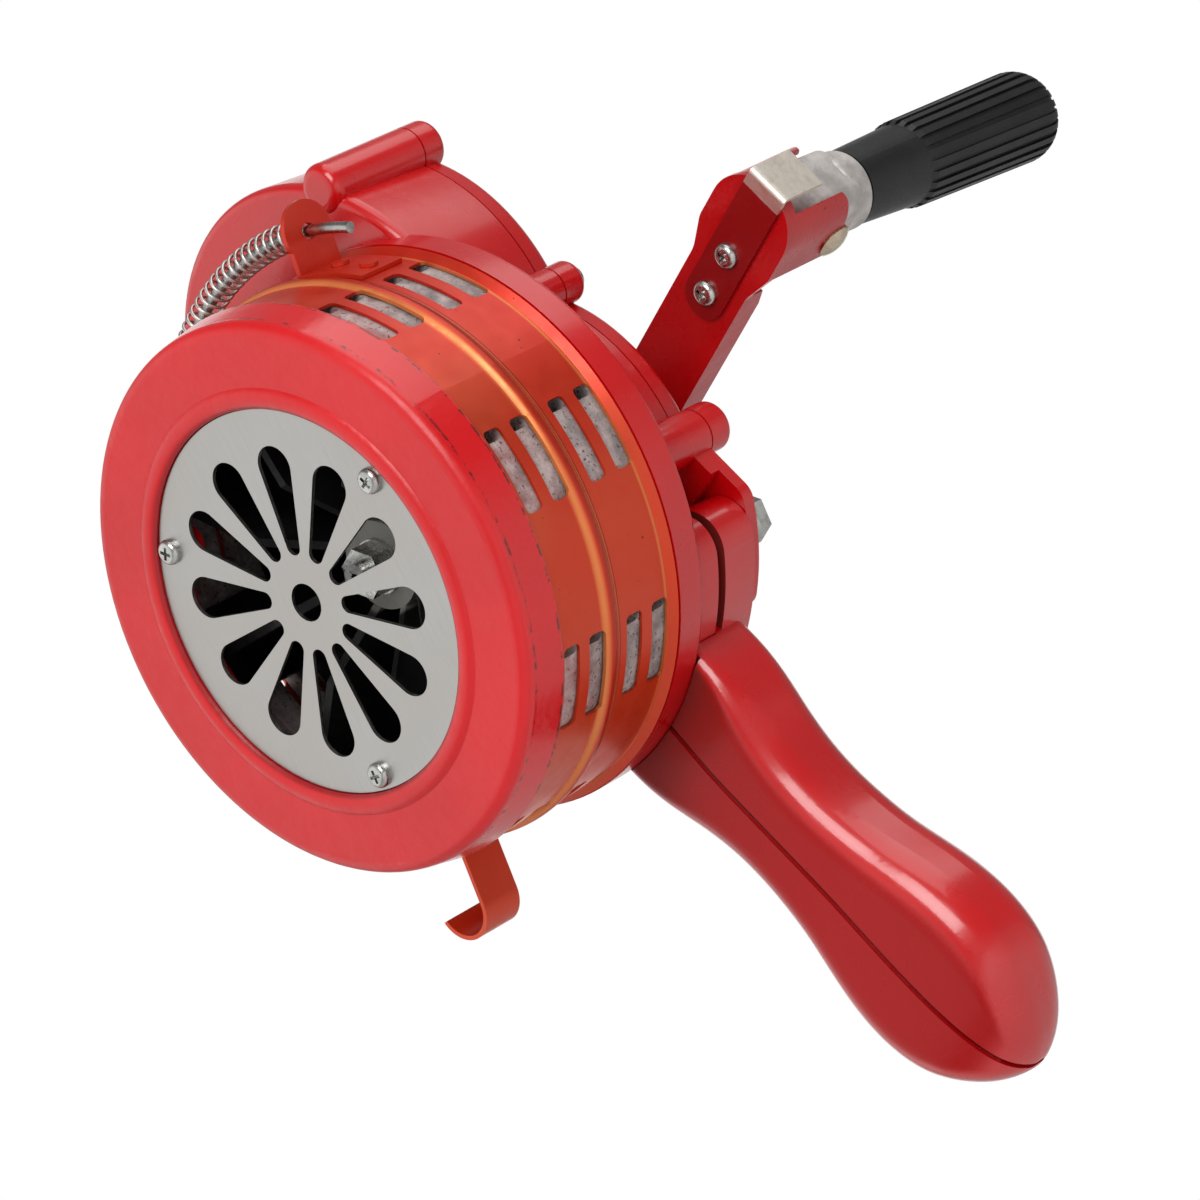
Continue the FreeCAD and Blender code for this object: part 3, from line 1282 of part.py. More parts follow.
def grip_sleeve():
    """Plastic sleeve: smooth tapered neck, ribbed barrel, round closed end."""
    dome = SLEEVE_END - SLEEVE_DOME
    lean = math.sqrt(0.5)
    core_start, core_end = RIB_START_R - RIB_H, RIB_END_R - RIB_H
    flat = core_end - SLEEVE_EDGE
    body = turned_profile([
        (0, SLEEVE_START),
        (SLEEVE_NECK_R, SLEEVE_START),
        (core_start, RIB_START),
        (core_end, dome),
        ((flat + SLEEVE_EDGE * lean, dome + SLEEVE_DOME * lean), (flat, SLEEVE_END)),
        (0, SLEEVE_END),
    ])
    rib_half = 0.27 * 2.0 * math.pi * RIB_END_R / RIBS
    rib_flat = RIB_END_R - SLEEVE_EDGE
    rise = SLEEVE_DOME - 0.6
    face = Part.Face(wire_of([
        (core_start - 2.0, RIB_START + 2.0),
        (core_start - 0.5, RIB_START),
        (RIB_START_R, RIB_START + 3.0),
        (RIB_END_R, dome),
        ((rib_flat + SLEEVE_EDGE * lean, dome + rise * lean), (rib_flat, dome + rise)),
        (rib_flat, dome),
    ], lambda r, y: V(r, y, -rib_half)))
    rib = face.extrude(V(0, 0, 2.0 * rib_half))
    body = joined([body] + [turned(rib, i * 360.0 / RIBS) for i in range(RIBS)])
    bore = cylinder(SPINDLE_R + RUN_GAP, SLEEVE_START - 1.0, SPINDLE_END + 1.5)
    pocket = cylinder(CLIP_R + 0.6, CLIP_Y - 0.5, CLIP_Y + CLIP_T + 0.5)
    return leaning(moved(body.cut([bore, pocket]), GRIP_X, 0, 0))


# Handle
def handle_section(z, half_width, half_depth, corner):
    y0, y1 = HANDLE_Y - half_depth, HANDLE_Y + half_depth
    corners = [(-half_width, y0), (half_width, y0), (half_width, y1), (-half_width, y1)]
    return rounded_wire([(x, y, corner) for x, y in corners], lambda x, y: V(x, y, z))


def handle_body(inset):
    wires = []
    for z, half_width, half_depth, corner in HANDLE_SECTIONS:
        if half_width - inset > 2.0 and half_depth - inset > 2.0:
            round_off = max(1.0, corner - inset)
            wires.append(handle_section(z, half_width - inset, half_depth - inset, round_off))
    if inset > 0.0:
        wires.pop()
    return Part.makeLoft(wires, True, False)


def handle_reach():
    """A length that takes in the whole handle."""
    return YOKE_OUTER_R - HANDLE_SECTIONS[-1][0]


def handle_side(side):
    """Space on one side of the handle's middle plane, short of it by the parting gap."""
    reach = handle_reach()
    space = box(SPLIT_GAP, reach, HANDLE_Y - reach, HANDLE_Y + reach, -reach, 0.0)
    return space if side > 0 else mirrored(space)


def parting_groove():
    """Shallow groove along the parting line of handle and yoke."""
    reach = handle_reach()
    strip = box(-GROOVE_HALF, GROOVE_HALF, HANDLE_Y - reach, HANDLE_Y + reach, -reach, -YOKE_INNER_R)
    spread = math.degrees(4.0 * GROOVE_HALF / YOKE_INNER_R)
    yoke_core = sector(YOKE_INNER_R - 1.0, YOKE_OUTER_R, YOKE_FRONT + GROOVE_DEPTH, YOKE_END - GROOVE_DEPTH,
                       -90.0 - spread, 2.0 * spread)
    return strip.cut(handle_body(GROOVE_DEPTH)).cut(yoke_core)


def cross_hole(radius, x0, x1, z):
    return Part.makeCylinder(radius, x1 - x0, V(x0, HANDLE_Y, z), V(1, 0, 0))


def grip_half(side):
    outer = handle_body(0.0)
    arms = [ear(way, YOKE_INNER_R, YOKE_FRONT, YOKE_END, -90.0) for way in (1, -1)]
    body = joined([outer] + arms)
    body = body.cut(cylinder(YOKE_INNER_R, 0.0, 2.0 * HANDLE_Y))
    body = body.cut(cylinder(FLANGE_R + HANDLE_CLEAR, 0.0, FLANGE_END + HANDLE_CLEAR))
    body = body.cut(cylinder(YOKE_OUTER_R + HANDLE_CLEAR, 0.0, CASE_LUG_END + HANDLE_CLEAR))
    reach = handle_reach()
    solid_top = box(-reach, reach, HANDLE_Y - reach, HANDLE_Y + reach, HANDLE_HOLLOW_TOP, 0.0)
    body = body.cut(handle_body(HANDLE_WALL).cut(solid_top))
    bosses = [cross_hole(GRIP_BOSS_R, -reach, reach, z).common(outer) for z in GRIP_SCREW_Z]
    body = joined([body] + bosses).cut(parting_groove()).common(handle_side(side))
    cuts = [cylinder(BOLT_R + SEAT_GAP, YOKE_FRONT - 1.0, YOKE_END + 1.0, side * BOLT_X, BOLT_Z)]
    for z in GRIP_SCREW_Z:
        if side > 0:
            cuts.append(cross_hole(GRIP_SCREW_R + SEAT_GAP, -1.0, GRIP_SCREW_L - GRIP_SCREW_SEAT + 1.0, z))
        else:
            cuts.append(cross_hole(GRIP_SCREW_R + 0.2, -reach, 1.0, z))
            cuts.append(cross_hole(GRIP_BOSS_R - 0.9, -reach, -GRIP_SCREW_SEAT, z))
    return body.cut(cuts)


def grip_screws():
    """Screws from the left half into the right one, heads sunk in counterbores."""
    screw = pan_screw(GRIP_SCREW_R, GRIP_SCREW_L)
    screw.rotate(ORIGIN, UP, -90)
    return [moved(screw, -GRIP_SCREW_SEAT - 0.02, HANDLE_Y, z) for z in GRIP_SCREW_Z]


def grip_bolts():
    seat = CASE_END + BOLT_WASHER_T
    bolts = []
    for x, z in bolt_places():
        head = hexagon(BOLT_AF, seat, seat + BOLT_HEAD_H, x, z)
        bolts.append(head.fuse(cylinder(BOLT_R, BOLT_FRONT, seat + 1.0, x, z)).removeSplitter())
    return bolts


def grip_washers():
    seat = CASE_END + BOLT_WASHER_T
    return [tube(BOLT_WASHER_R, BOLT_R + SEAT_GAP, CASE_END, seat, x, z) for x, z in bolt_places()]


def save(name, shape):
    solids = shape if isinstance(shape, list) else [shape]
    solids = [solid for item in solids for solid in item.Solids]
    for solid in solids:
        if not solid.isValid() or solid.Volume <= 0:
            print("PROBLEM", name, solid.isValid(), solid.Volume)
        solid.translate(V(0, -HANDLE_Y, AXIS_HEIGHT))
    whole = solids[0] if len(solids) == 1 else Part.makeCompound(solids)
    whole.exportStep("parts/%s.step" % name)
    b = whole.BoundBox
    reach = (b.XMin, b.XMax, b.YMin, b.YMax, b.ZMin, b.ZMax)
    print("%-20s solids %2d volume %9.0f" % (name, len(solids), whole.Volume), end="")
    print("  x %6.1f %6.1f  y %6.1f %6.1f  z %6.1f %6.1f" % reach)


os.makedirs("parts", exist_ok=True)

save("drum_casting", drum_casting())
save("intake_grille", intake_grille())
save("grille_screws", grille_screws())
save("drum_screws", drum_screws())
save("gear_case", gear_case())
save("cover_gasket", cover_gasket())
save("gear_cover", gear_cover())
save("cover_screws", cover_screws())
save("rotor_bearings", rotor_bearings())
save("countershaft_bush_front", countershaft_bush(counter_bush_front()))
save("countershaft_bush_rear", countershaft_bush(counter_bush_rear()))
save("crank_bush", crank_bush())
save("grip_left", grip_half(-1))
save("grip_right", grip_half(1))
save("grip_bolts", grip_bolts())
save("grip_washers", grip_washers())
save("grip_screws", grip_screws())
save("guide_rod", guide_rod())
save("rod_anchor", rod_anchor())
save("anchor_screw", anchor_screw())
save("return_spring", return_spring())

save("shutter_band", shutter_band())
save("shutter_lug", shutter_lug())
save("trigger", trigger())
save("shutter_rivets", shutter_rivets())

save("impeller", impeller())
save("rotor_shaft", rotor_shaft())
save("rotor_pinion", rotor_pinion())
save("impeller_washer", impeller_washer())
save("impeller_nut", impeller_nut())

save("countershaft", countershaft())
save("countershaft_gear", countershaft_gear())
save("countershaft_pinion", countershaft_pinion())

save("crank_shaft", crank_shaft())
save("crank_gear", crank_gear())
save("crank_arm", crank_arm())
save("crank_washer", crank_washer())
save("crank_nut", crank_nut())
save("hinge_bracket", hinge_bracket())
save("hinge_pin", hinge_pin())
save("latch_spring", latch_spring())
save("latch_screws", latch_screws())

save("grip_ferrule", grip_ferrule())
save("grip_spindle", grip_spindle())
save("spindle_clip", spindle_clip())
save("grip_sleeve", grip_sleeve())
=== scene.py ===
import bpy
from mathutils import Matrix, Vector


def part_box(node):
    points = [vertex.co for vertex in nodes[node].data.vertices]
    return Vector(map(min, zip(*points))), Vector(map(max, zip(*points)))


# Looks of a hand crank siren. Metres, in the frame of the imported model: origin in the middle of
# the grip, the siren's axis along Y, sound and intake towards -Y, crank towards +Y.

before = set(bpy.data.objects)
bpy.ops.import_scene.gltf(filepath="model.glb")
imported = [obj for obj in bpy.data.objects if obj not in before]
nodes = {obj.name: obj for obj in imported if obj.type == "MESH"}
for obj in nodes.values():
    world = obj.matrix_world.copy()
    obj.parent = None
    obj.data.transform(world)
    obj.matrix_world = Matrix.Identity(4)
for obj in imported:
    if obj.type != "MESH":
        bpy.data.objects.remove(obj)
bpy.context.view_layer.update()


# Places worked out from the frame
GRILLE_LOW, GRILLE_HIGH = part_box("intake_grille")
GRILLE_R = 0.5 * (GRILLE_HIGH.x - GRILLE_LOW.x)
AXIS = (GRILLE_LOW + GRILLE_HIGH) * 0.5
FACE = Vector((AXIS.x, GRILLE_LOW.y, AXIS.z))  # middle of the grille's face
DRUM_LOW, DRUM_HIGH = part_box("drum_casting")
RING_R = 0.5 * (DRUM_HIGH.x - DRUM_LOW.x)
LATCH_SIDE_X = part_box("latch_spring")[1].x

# Depths behind the grille's face: (start, full) of a change, or (middle, half width) of a line
RING_FRONT_EDGE = (0.0030, 0.0007)
RING_REAR_EDGE = (0.0112, 0.0118)
WALL_START = (0.0119, 0.0123)
OVERSPRAY = (0.030, 0.062)
# Painted highlights: gold lines on the bead's flanks and along the rear lip
HIGHLIGHT_LINES = ((0.0304, 0.0017), (0.0352, 0.0015), (0.0559, 0.0009))
# Painted shade: darker red on the bead's crest, between the highlights
BEAD_CREST = (0.0328, 0.0014)
BEAD_SWELL = (0.0326, 0.0042)
SCORED_LINES = ((0.0358, 0.00028), (0.0366, 0.00028))

# Other places of paint, wear and painted shade
RING_RIM = (RING_R - 0.006, RING_R - 0.005)  # radii where the rim's chips start
RING_SIDE = (RING_R - 0.0022, RING_R - 0.0018)  # radii where the ring's side starts
GRILLE_SEAM = (GRILLE_R + 0.0006, 0.0011)  # dark line round the grille
ROTOR_HUB = (0.0135, 0.0150)  # radii where the bright hub ends
HANDLE_BROWN_HEIGHTS = (0.048, 0.098)  # heights where the handle's front starts to turn browner and darker towards the drum
HANDLE_FRONT = (-0.86, -0.985)  # Y of the normals that count as the front, where the handle is painted darker as painted shade
PARTING_LINE = (0.0, 0.0013)  # X of the dark line between the handle's halves
LATCH_BARE = (LATCH_SIDE_X - 0.0056, LATCH_SIDE_X - 0.0052)  # X where its paint ends
BRUSH_TURN = (0.42, 0.91)  # sine and cosine of the direction of the brushing
BRUSH_SCALE = (60.0, 5200.0, 900.0)  # along the lines, across them, through the sheet

# Camera: place from the middle of the grille's face, its axes, and its lens
CAMERA_OFFSET = Vector((1.0986, -1.0252, -0.5039))
CAMERA_RIGHT = Vector((0.37057, 0.64691, -0.66643))
CAMERA_UP = Vector((0.63787, 0.34427, 0.68885))
CAMERA_AHEAD = Vector((-0.67506, 0.68043, 0.28506))
LENS_MM = 174.9
SENSOR_MM = 36.0
CLIP_END = 50.0

FLOOR_Z = -0.46
FLOOR_SIZE = 8.0

# Studio lights: place from the drum's middle, width, height, and power in watts
DRUM_DEPTH = 0.06
LIGHTS = {
    "key": (Vector((1.09, -1.08, 0.46)), 0.9, 0.9, 16.0),
    "top": (CAMERA_UP * 1.2 - CAMERA_AHEAD * 0.1, 1.4, 1.0, 7.0),
}

# The world's even level, and its bright patches: direction, cosines where a patch starts and
# where it is full, and its strength
WORLD_LEVEL = 0.22
WORLD_PATCHES = (
    (CAMERA_AHEAD, 0.82, 0.95, 1.0),
    (Vector((-0.675, -0.68, 0.285)), 0.45, 0.85, 1.1),
)


# Node helpers
class Shader:
    """A material's node tree, built by short calls."""

    def __init__(self, name):
        self.material = bpy.data.materials.new(name)
        self.material.use_nodes = True
        self.tree = self.material.node_tree
        self.principled = self.tree.nodes["Principled BSDF"]
        self.place = self.new("ShaderNodeTexCoord").outputs["Object"]

    def new(self, kind, **settings):
        node = self.tree.nodes.new(kind)
        for key, value in settings.items():
            setattr(node, key, value)
        return node

    def join(self, source, target):
        self.tree.links.new(source, target)

    def feed(self, socket, value):
        if isinstance(value, bpy.types.NodeSocket):
            self.join(value, socket)
        else:
            socket.default_value = value

    def constants(self, **values):
        """Values that are the same all over the surface, on the shader's own sockets."""
        for key, value in values.items():
            self.principled.inputs[key.replace("_", " ")].default_value = value

    def output(self, key, value):
        self.join(value, self.principled.inputs[key])

    def math(self, operation, a, b=0.0):
        node = self.new("ShaderNodeMath", operation=operation)
        self.feed(node.inputs[0], a)
        self.feed(node.inputs[1], b)
        return node.outputs[0]

    def plus(self, a, b):
        return self.math("ADD", a, b)

    def times(self, a, b):
        return self.math("MULTIPLY", a, b)

    def larger(self, a, b):
        return self.math("MAXIMUM", a, b)

    def split(self, vector):
        node = self.new("ShaderNodeSeparateXYZ")
        self.join(vector, node.inputs[0])
        return node.outputs

    def combine(self, x, y, z):
        node = self.new("ShaderNodeCombineXYZ")
        for socket, value in zip(node.inputs, (x, y, z)):
            self.feed(socket, value)
        return node.outputs[0]

    def noise(self, scale, detail=3.0, roughness=0.5, place=None):
        node = self.new("ShaderNodeTexNoise")
        self.join(place or self.place, node.inputs["Vector"])
        node.inputs["Scale"].default_value = scale
        node.inputs["Detail"].default_value = detail
        node.inputs["Roughness"].default_value = roughness
        return node.outputs["Fac"]

    def span(self, value, low, high, to_low=0.0, to_high=1.0):
        """A smooth step from to_low at low to to_high at high."""
        node = self.new("ShaderNodeMapRange", interpolation_type="SMOOTHSTEP")
        self.feed(node.inputs["Value"], value)
        limits = {"From Min": low, "From Max": high, "To Min": to_low, "To Max": to_high}
        for key, number in limits.items():
            node.inputs[key].default_value = number
        return node.outputs["Result"]

    def soft(self, noise, to_low=0.0, to_high=1.0):
        """The middle of a noise's range, spread from to_low to to_high."""
        return self.span(noise, 0.3, 0.7, to_low, to_high)

    def near(self, value, centre, half):
        """1 where value is at centre, falling to 0 at half away."""
        away = self.math("ABSOLUTE", self.math("SUBTRACT", value, centre))
        return self.span(away, 0.0, half, 1.0, 0.0)

    def mix(self, factor, a, b):
        """Colour a, or b where factor is 1."""
        node = self.new("ShaderNodeMix", data_type="RGBA")
        self.feed(node.inputs["Factor"], factor)
        self.feed(node.inputs[6], a)
        self.feed(node.inputs[7], b)
        return node.outputs[2]

    def blend(self, factor, a, b):
        """Number a, or b where factor is 1."""
        node = self.new("ShaderNodeMix", data_type="FLOAT")
        self.feed(node.inputs["Factor"], factor)
        self.feed(node.inputs[2], a)
        self.feed(node.inputs[3], b)
        return node.outputs[0]

    def bump(self, height, distance, strength):
        node = self.new("ShaderNodeBump")
        node.inputs["Strength"].default_value = strength
        node.inputs["Distance"].default_value = distance
        self.join(height, node.inputs["Height"])
        self.output("Normal", node.outputs["Normal"])

    def around(self):
        """Radius from the siren's axis, depth behind the grille's face, and angle."""
        shift = self.new("ShaderNodeVectorMath", operation="SUBTRACT")
        self.feed(shift.inputs[0], self.place)
        self.feed(shift.inputs[1], FACE)
        x, depth, z = self.split(shift.outputs["Vector"])
        radius = self.math("SQRT", self.plus(self.times(x, x), self.times(z, z)))
        return radius, depth, self.math("ARCTAN2", z, x)


def rgb(red, green, blue):
    """Colour as seen on screen, 0 to 255, made linear."""
    return tuple((channel / 255.0) ** 2.2 for channel in (red, green, blue)) + (1.0,)


# Colours
RED = rgb(200, 12, 20)
RED_DEEP = rgb(178, 8, 15)
# Painted shade: the darker red of the handle's front faces
HANDLE_SHADE_RED = rgb(150, 8, 12)
# Browner, darker red towards the top of the handle's front
HANDLE_TOP_BROWN = rgb(96, 44, 40)
HANDLE_PARTING = rgb(56, 8, 10)
RING_RED = rgb(210, 20, 28)
RING_RED_DEEP = rgb(196, 14, 22)
SEAM_RED = rgb(150, 20, 26)
ARM_RED = rgb(184, 14, 20)
ARM_RED_DEEP = rgb(168, 10, 16)
LATCH_RED = rgb(132, 16, 18)
CHIP = rgb(34, 20, 20)
WALL_GREY = rgb(128, 120, 118)
WALL_PINK = rgb(168, 100, 98)
WALL_PALE = rgb(186, 170, 167)
WALL_PIT = rgb(84, 70, 68)
COPPER = rgb(206, 62, 28)
# Painted shading: the deeper red of the lacquer towards the top of the drum
COPPER_SHADED_TOP = rgb(198, 42, 18)
COPPER_PALE = rgb(204, 92, 56)
COPPER_SPECK = rgb(70, 24, 14)
# Painted highlight: the gold of the band's highlight lines
HIGHLIGHT_GOLD = rgb(228, 140, 78)
# Painted shade: the darker red of the bead's crest
CREST_SHADE_RED = rgb(168, 34, 16)
SCORED_RED = rgb(120, 20, 20)
STEEL = rgb(194, 192, 188)
STEEL_DARK = rgb(150, 149, 147)
STEEL_WARM = rgb(170, 163, 155)
NICKEL = rgb(226, 216, 204)
NICKEL_DARK = rgb(204, 194, 182)
ROTOR_HUB_GREY = rgb(150, 148, 142)
FLOOR_PALE = rgb(242, 242, 242)
FLOOR_SHADE = rgb(236, 236, 236)


def gloss_red(name, handle=False):
    """Wet looking red paint on castings, with orange peel, runs and dark chips.

    The handle's front faces are painted darker as painted shade and are duller; the front turns
    browner and darker towards the top, by the drum, and its parting line is dark."""
    s = Shader(name)
    x, _, z = s.split(s.place)
    chipped = s.span(s.noise(260.0, 4.0, 0.65), 0.70, 0.73)
    worn = s.times(chipped, s.span(s.noise(23.0, 2.0), 0.55, 0.63))
    paint = s.mix(s.soft(s.noise(9.0)), RED_DEEP, RED)
    satin = s.soft(s.noise(35.0, 4.0), 0.24, 0.36)
    height = s.plus(s.times(s.noise(420.0, 2.0), 0.15), s.noise(60.0, 2.0))
    if handle:
        neck = s.span(s.plus(z, s.times(s.noise(38.0, 4.0, 0.6), 0.05)), *HANDLE_BROWN_HEIGHTS)
        facing = s.split(s.new("ShaderNodeNewGeometry").outputs["Normal"])[1]
        front = s.span(facing, *HANDLE_FRONT)
        top_brown = s.times(s.times(neck, front), 0.75)
        # Painted shade: the handle's front faces get a darker red
        paint = s.mix(s.times(front, 0.8), paint, HANDLE_SHADE_RED)
        # Browner, darker and rougher towards the top of the handle's front, by the drum
        paint = s.mix(top_brown, paint, HANDLE_TOP_BROWN)
        paint = s.mix(s.near(x, *PARTING_LINE), paint, HANDLE_PARTING)
        satin = s.blend(top_brown, satin, 0.6)
        s.output("Specular IOR Level", s.blend(front, 0.45, 0.16))
        s.output("Coat Weight", s.blend(front, 0.9, 0.08))
    else:
        s.constants(Coat_Weight=0.5)
    height = s.plus(height, s.times(s.noise(24.0, 3.0, 0.55), 2.4 if handle else 0.8))
    s.output("Base Color", s.mix(worn, paint, CHIP))
    s.output("Roughness", s.blend(worn, satin, 0.6))
    s.constants(Coat_Roughness=0.14)
    s.bump(height, 0.00035, 0.5)
    return s.material


def ring_paint():
    """The drum casting: satin red paint on the ring, bare rough wall with overspray behind it."""
    s = Shader("drum_paint_and_casting")
    radius, depth, _ = s.around()
    wall = s.span(depth, *WALL_START)
    side = s.span(radius, *RING_SIDE)
    spray = s.span(s.plus(depth, s.times(s.noise(60.0, 4.0, 0.6), 0.05)), *OVERSPRAY)
    grit = s.noise(900.0, 3.0, 0.6)
    bare = s.mix(spray, WALL_PINK, WALL_GREY)
    bare = s.mix(s.span(s.noise(160.0, 4.0, 0.6), 0.35, 0.75), bare, WALL_PALE)
    bare = s.mix(s.span(grit, 0.60, 0.66), bare, WALL_PIT)
    edges = s.larger(s.near(depth, *RING_FRONT_EDGE), s.span(depth, *RING_REAR_EDGE))
    edges = s.times(edges, s.span(radius, *RING_RIM))
    rubbed = s.span(s.noise(260.0, 5.0, 0.7), 0.50, 0.58)
    chips = s.times(s.times(edges, rubbed), 0.85)
    specks = s.span(s.noise(420.0, 3.0, 0.6), 0.76, 0.79)
    paint = s.mix(s.soft(s.noise(14.0)), RING_RED_DEEP, RING_RED)
    paint = s.mix(s.near(radius, *GRILLE_SEAM), paint, SEAM_RED)
    paint = s.mix(s.larger(chips, specks), paint, CHIP)
    s.output("Base Color", s.mix(wall, paint, bare))
    satin = s.blend(side, s.soft(s.noise(240.0), 0.34, 0.46), 0.26)
    s.output("Roughness", s.blend(wall, satin, 0.85))
    s.output("Coat Weight", s.blend(wall, s.blend(side, 0.2, 0.5), 0.0))
    s.constants(Coat_Roughness=0.16, Specular_IOR_Level=0.42)
    peel = s.plus(s.noise(330.0, 3.0, 0.55), s.times(s.noise(90.0, 2.0), 1.2))
    s.bump(s.blend(wall, s.times(peel, 0.45), s.times(grit, 0.9)), 0.0005, 0.7)
    return s.material


def copper_lacquer(name, banded=False):
    """Candy lacquer over bright steel, with painted shading round the drum, deeper red above and
    brighter orange below; the shutter's band also has painted highlight lines in gold, a painted
    shade line on the bead's crest, and scored lines.
    """
    s = Shader(name)
    _, depth, angle = s.around()
    # Painted shading: deeper red towards the top of the drum, brighter orange below
    shade_sweep = s.plus(angle, s.times(s.noise(6.0, 2.0), 0.7))
    tone = s.mix(s.span(shade_sweep, -0.75, 0.65, 1.0, 0.0), COPPER_SHADED_TOP, COPPER)
    tone = s.mix(s.span(s.noise(22.0), 0.35, 0.7, 0.0, 0.45), tone, COPPER_PALE)
    height = s.noise(75.0)
    if banded:
        # Painted highlights: gold lines along the bead's flanks and the rear lip
        front, middle, rear = (s.near(depth, *line) for line in HIGHLIGHT_LINES)
        highlight = s.larger(s.larger(front, middle), rear)
        tone = s.mix(s.times(highlight, 0.75), tone, HIGHLIGHT_GOLD)
        # Painted shade on the bead's crest
        tone = s.mix(s.times(s.near(depth, *BEAD_CREST), 0.7), tone, CREST_SHADE_RED)
        scored = s.larger(*(s.near(depth, *line) for line in SCORED_LINES))
        tone = s.mix(s.times(scored, 0.8), tone, SCORED_RED)
        swell = s.times(s.near(depth, *BEAD_SWELL), 6.0)
        height = s.math("SUBTRACT", s.plus(height, swell), scored)
    s.output("Base Color", s.mix(s.span(s.noise(600.0, 2.0), 0.75, 0.78), tone, COPPER_SPECK))
    s.output("Roughness", s.soft(s.noise(160.0, 4.0), 0.32, 0.44))
    s.constants(Metallic=0.5, Coat_Weight=0.15, Coat_Roughness=0.2)
    s.bump(height, 0.0003, 0.4)
    return s.material


def brushed_steel():
    """Sheet brushed in one direction."""
    s = Shader("brushed_stainless")
    x, y, z = s.split(s.place)
    sine, cosine = BRUSH_TURN
    along = s.plus(s.times(x, sine), s.times(z, cosine))
    across = s.math("SUBTRACT", s.times(x, cosine), s.times(z, sine))
    stretched = (s.times(place, scale) for place, scale in zip((along, across, y), BRUSH_SCALE))
    lines = s.noise(1.0, 4.0, 0.7, s.combine(*stretched))
    tone = s.mix(lines, STEEL_DARK, STEEL)
    s.output("Base Color", s.mix(s.soft(s.noise(30.0), 0.0, 0.35), tone, STEEL_WARM))
    s.output("Roughness", s.span(lines, 0.2, 0.8, 0.26, 0.42))
    s.constants(Metallic=1.0, Anisotropic=0.5)
    s.bump(lines, 0.00006, 0.5)
    return s.material


def plated(name, tone, dark, low=0.18, high=0.34):
    """Zinc, nickel, bronze or turned steel: bright with clouded roughness."""
    s = Shader(name)
    grain = s.noise(900.0)
    s.output("Base Color", s.mix(s.span(s.noise(220.0, 4.0, 0.6), 0.35, 0.75), tone, dark))
    s.output("Roughness", s.soft(grain, low, high))
    s.constants(Metallic=1.0)
    s.bump(grain, 0.00008, 0.4)
    return s.material


def cast_metal(name, tone, dark, metallic, low, high):
    """As-cast or cut surface with a fine pebbled skin."""
    s = Shader(name)
    pebble = s.noise(700.0, 4.0, 0.6)
    s.output("Base Color", s.mix(s.span(s.noise(120.0, 4.0, 0.6), 0.35, 0.7), tone, dark))
    s.output("Roughness", s.soft(pebble, low, high))
    s.constants(Metallic=metallic)
    s.bump(pebble, 0.0003, 0.5)
    return s.material


def dark_red_paint():
    """Thinner, darker paint on pressed steel, worn at random spots."""
    s = Shader("dark_red_paint")
    worn = s.times(s.span(s.noise(300.0, 4.0, 0.7), 0.66, 0.70), s.span(s.noise(50.0), 0.5, 0.6))
    paint = s.mix(s.soft(s.noise(40.0)), ARM_RED_DEEP, ARM_RED)
    s.output("Base Color", s.mix(worn, paint, CHIP))
    s.output("Roughness", s.soft(s.noise(90.0, 4.0), 0.24, 0.38))
    s.constants(Coat_Weight=0.3, Coat_Roughness=0.15)
    s.bump(s.plus(s.noise(500.0), s.noise(120.0, 2.0)), 0.00025, 0.4)
    return s.material


def black_plastic():
    """Moulded plastic with a fine grain."""
    s = Shader("black_moulded_plastic")
    grain = s.noise(1800.0, 3.0, 0.6)
    s.output("Base Color", s.mix(s.soft(s.noise(60.0)), rgb(20, 20, 21), rgb(30, 30, 31)))
    s.output("Roughness", s.soft(grain, 0.38, 0.52))
    s.constants(Specular_IOR_Level=0.45)
    s.bump(grain, 0.00012, 0.4)
    return s.material


def dark_rotor():
    """Nearly black cast wheel with a turned, bright hub."""
    s = Shader("dark_cast_rotor")
    radius, _, _ = s.around()
    hub = s.span(radius, *ROTOR_HUB, 1.0, 0.0)
    grain = s.noise(500.0, 4.0, 0.6)
    tone = s.mix(s.soft(s.noise(60.0)), rgb(22, 22, 23), rgb(44, 43, 42))
    s.output("Base Color", s.mix(hub, tone, ROTOR_HUB_GREY))
    s.output("Roughness", s.soft(grain, 0.42, 0.62))
    s.constants(Metallic=0.3)
    s.bump(grain, 0.0003, 0.5)
    return s.material


def rubber():
    """Dull black gasket."""
    s = Shader("black_gasket")
    grain = s.noise(900.0)
    s.output("Base Color", s.mix(grain, rgb(18, 16, 16), rgb(34, 30, 30)))
    s.output("Roughness", s.soft(grain, 0.6, 0.8))
    s.constants(Specular_IOR_Level=0.3)
    return s.material


def latch_metal():
    """Nickel strip whose flat front is painted with the arm."""
    s = Shader("latch_nickel_and_paint")
    ragged = s.plus(s.split(s.place)[0], s.times(s.noise(500.0), 0.0006))
    bare = s.span(ragged, *LATCH_BARE)
    cloud = s.noise(300.0, 4.0, 0.6)
    nickel = s.mix(s.span(cloud, 0.4, 0.8), NICKEL, NICKEL_DARK)
    s.output("Base Color", s.mix(bare, LATCH_RED, nickel))
    s.output("Roughness", s.blend(bare, 0.3, s.soft(cloud, 0.36, 0.48)))
    s.output("Metallic", bare)
    s.bump(s.noise(400.0), 0.0002, 0.35)
    return s.material


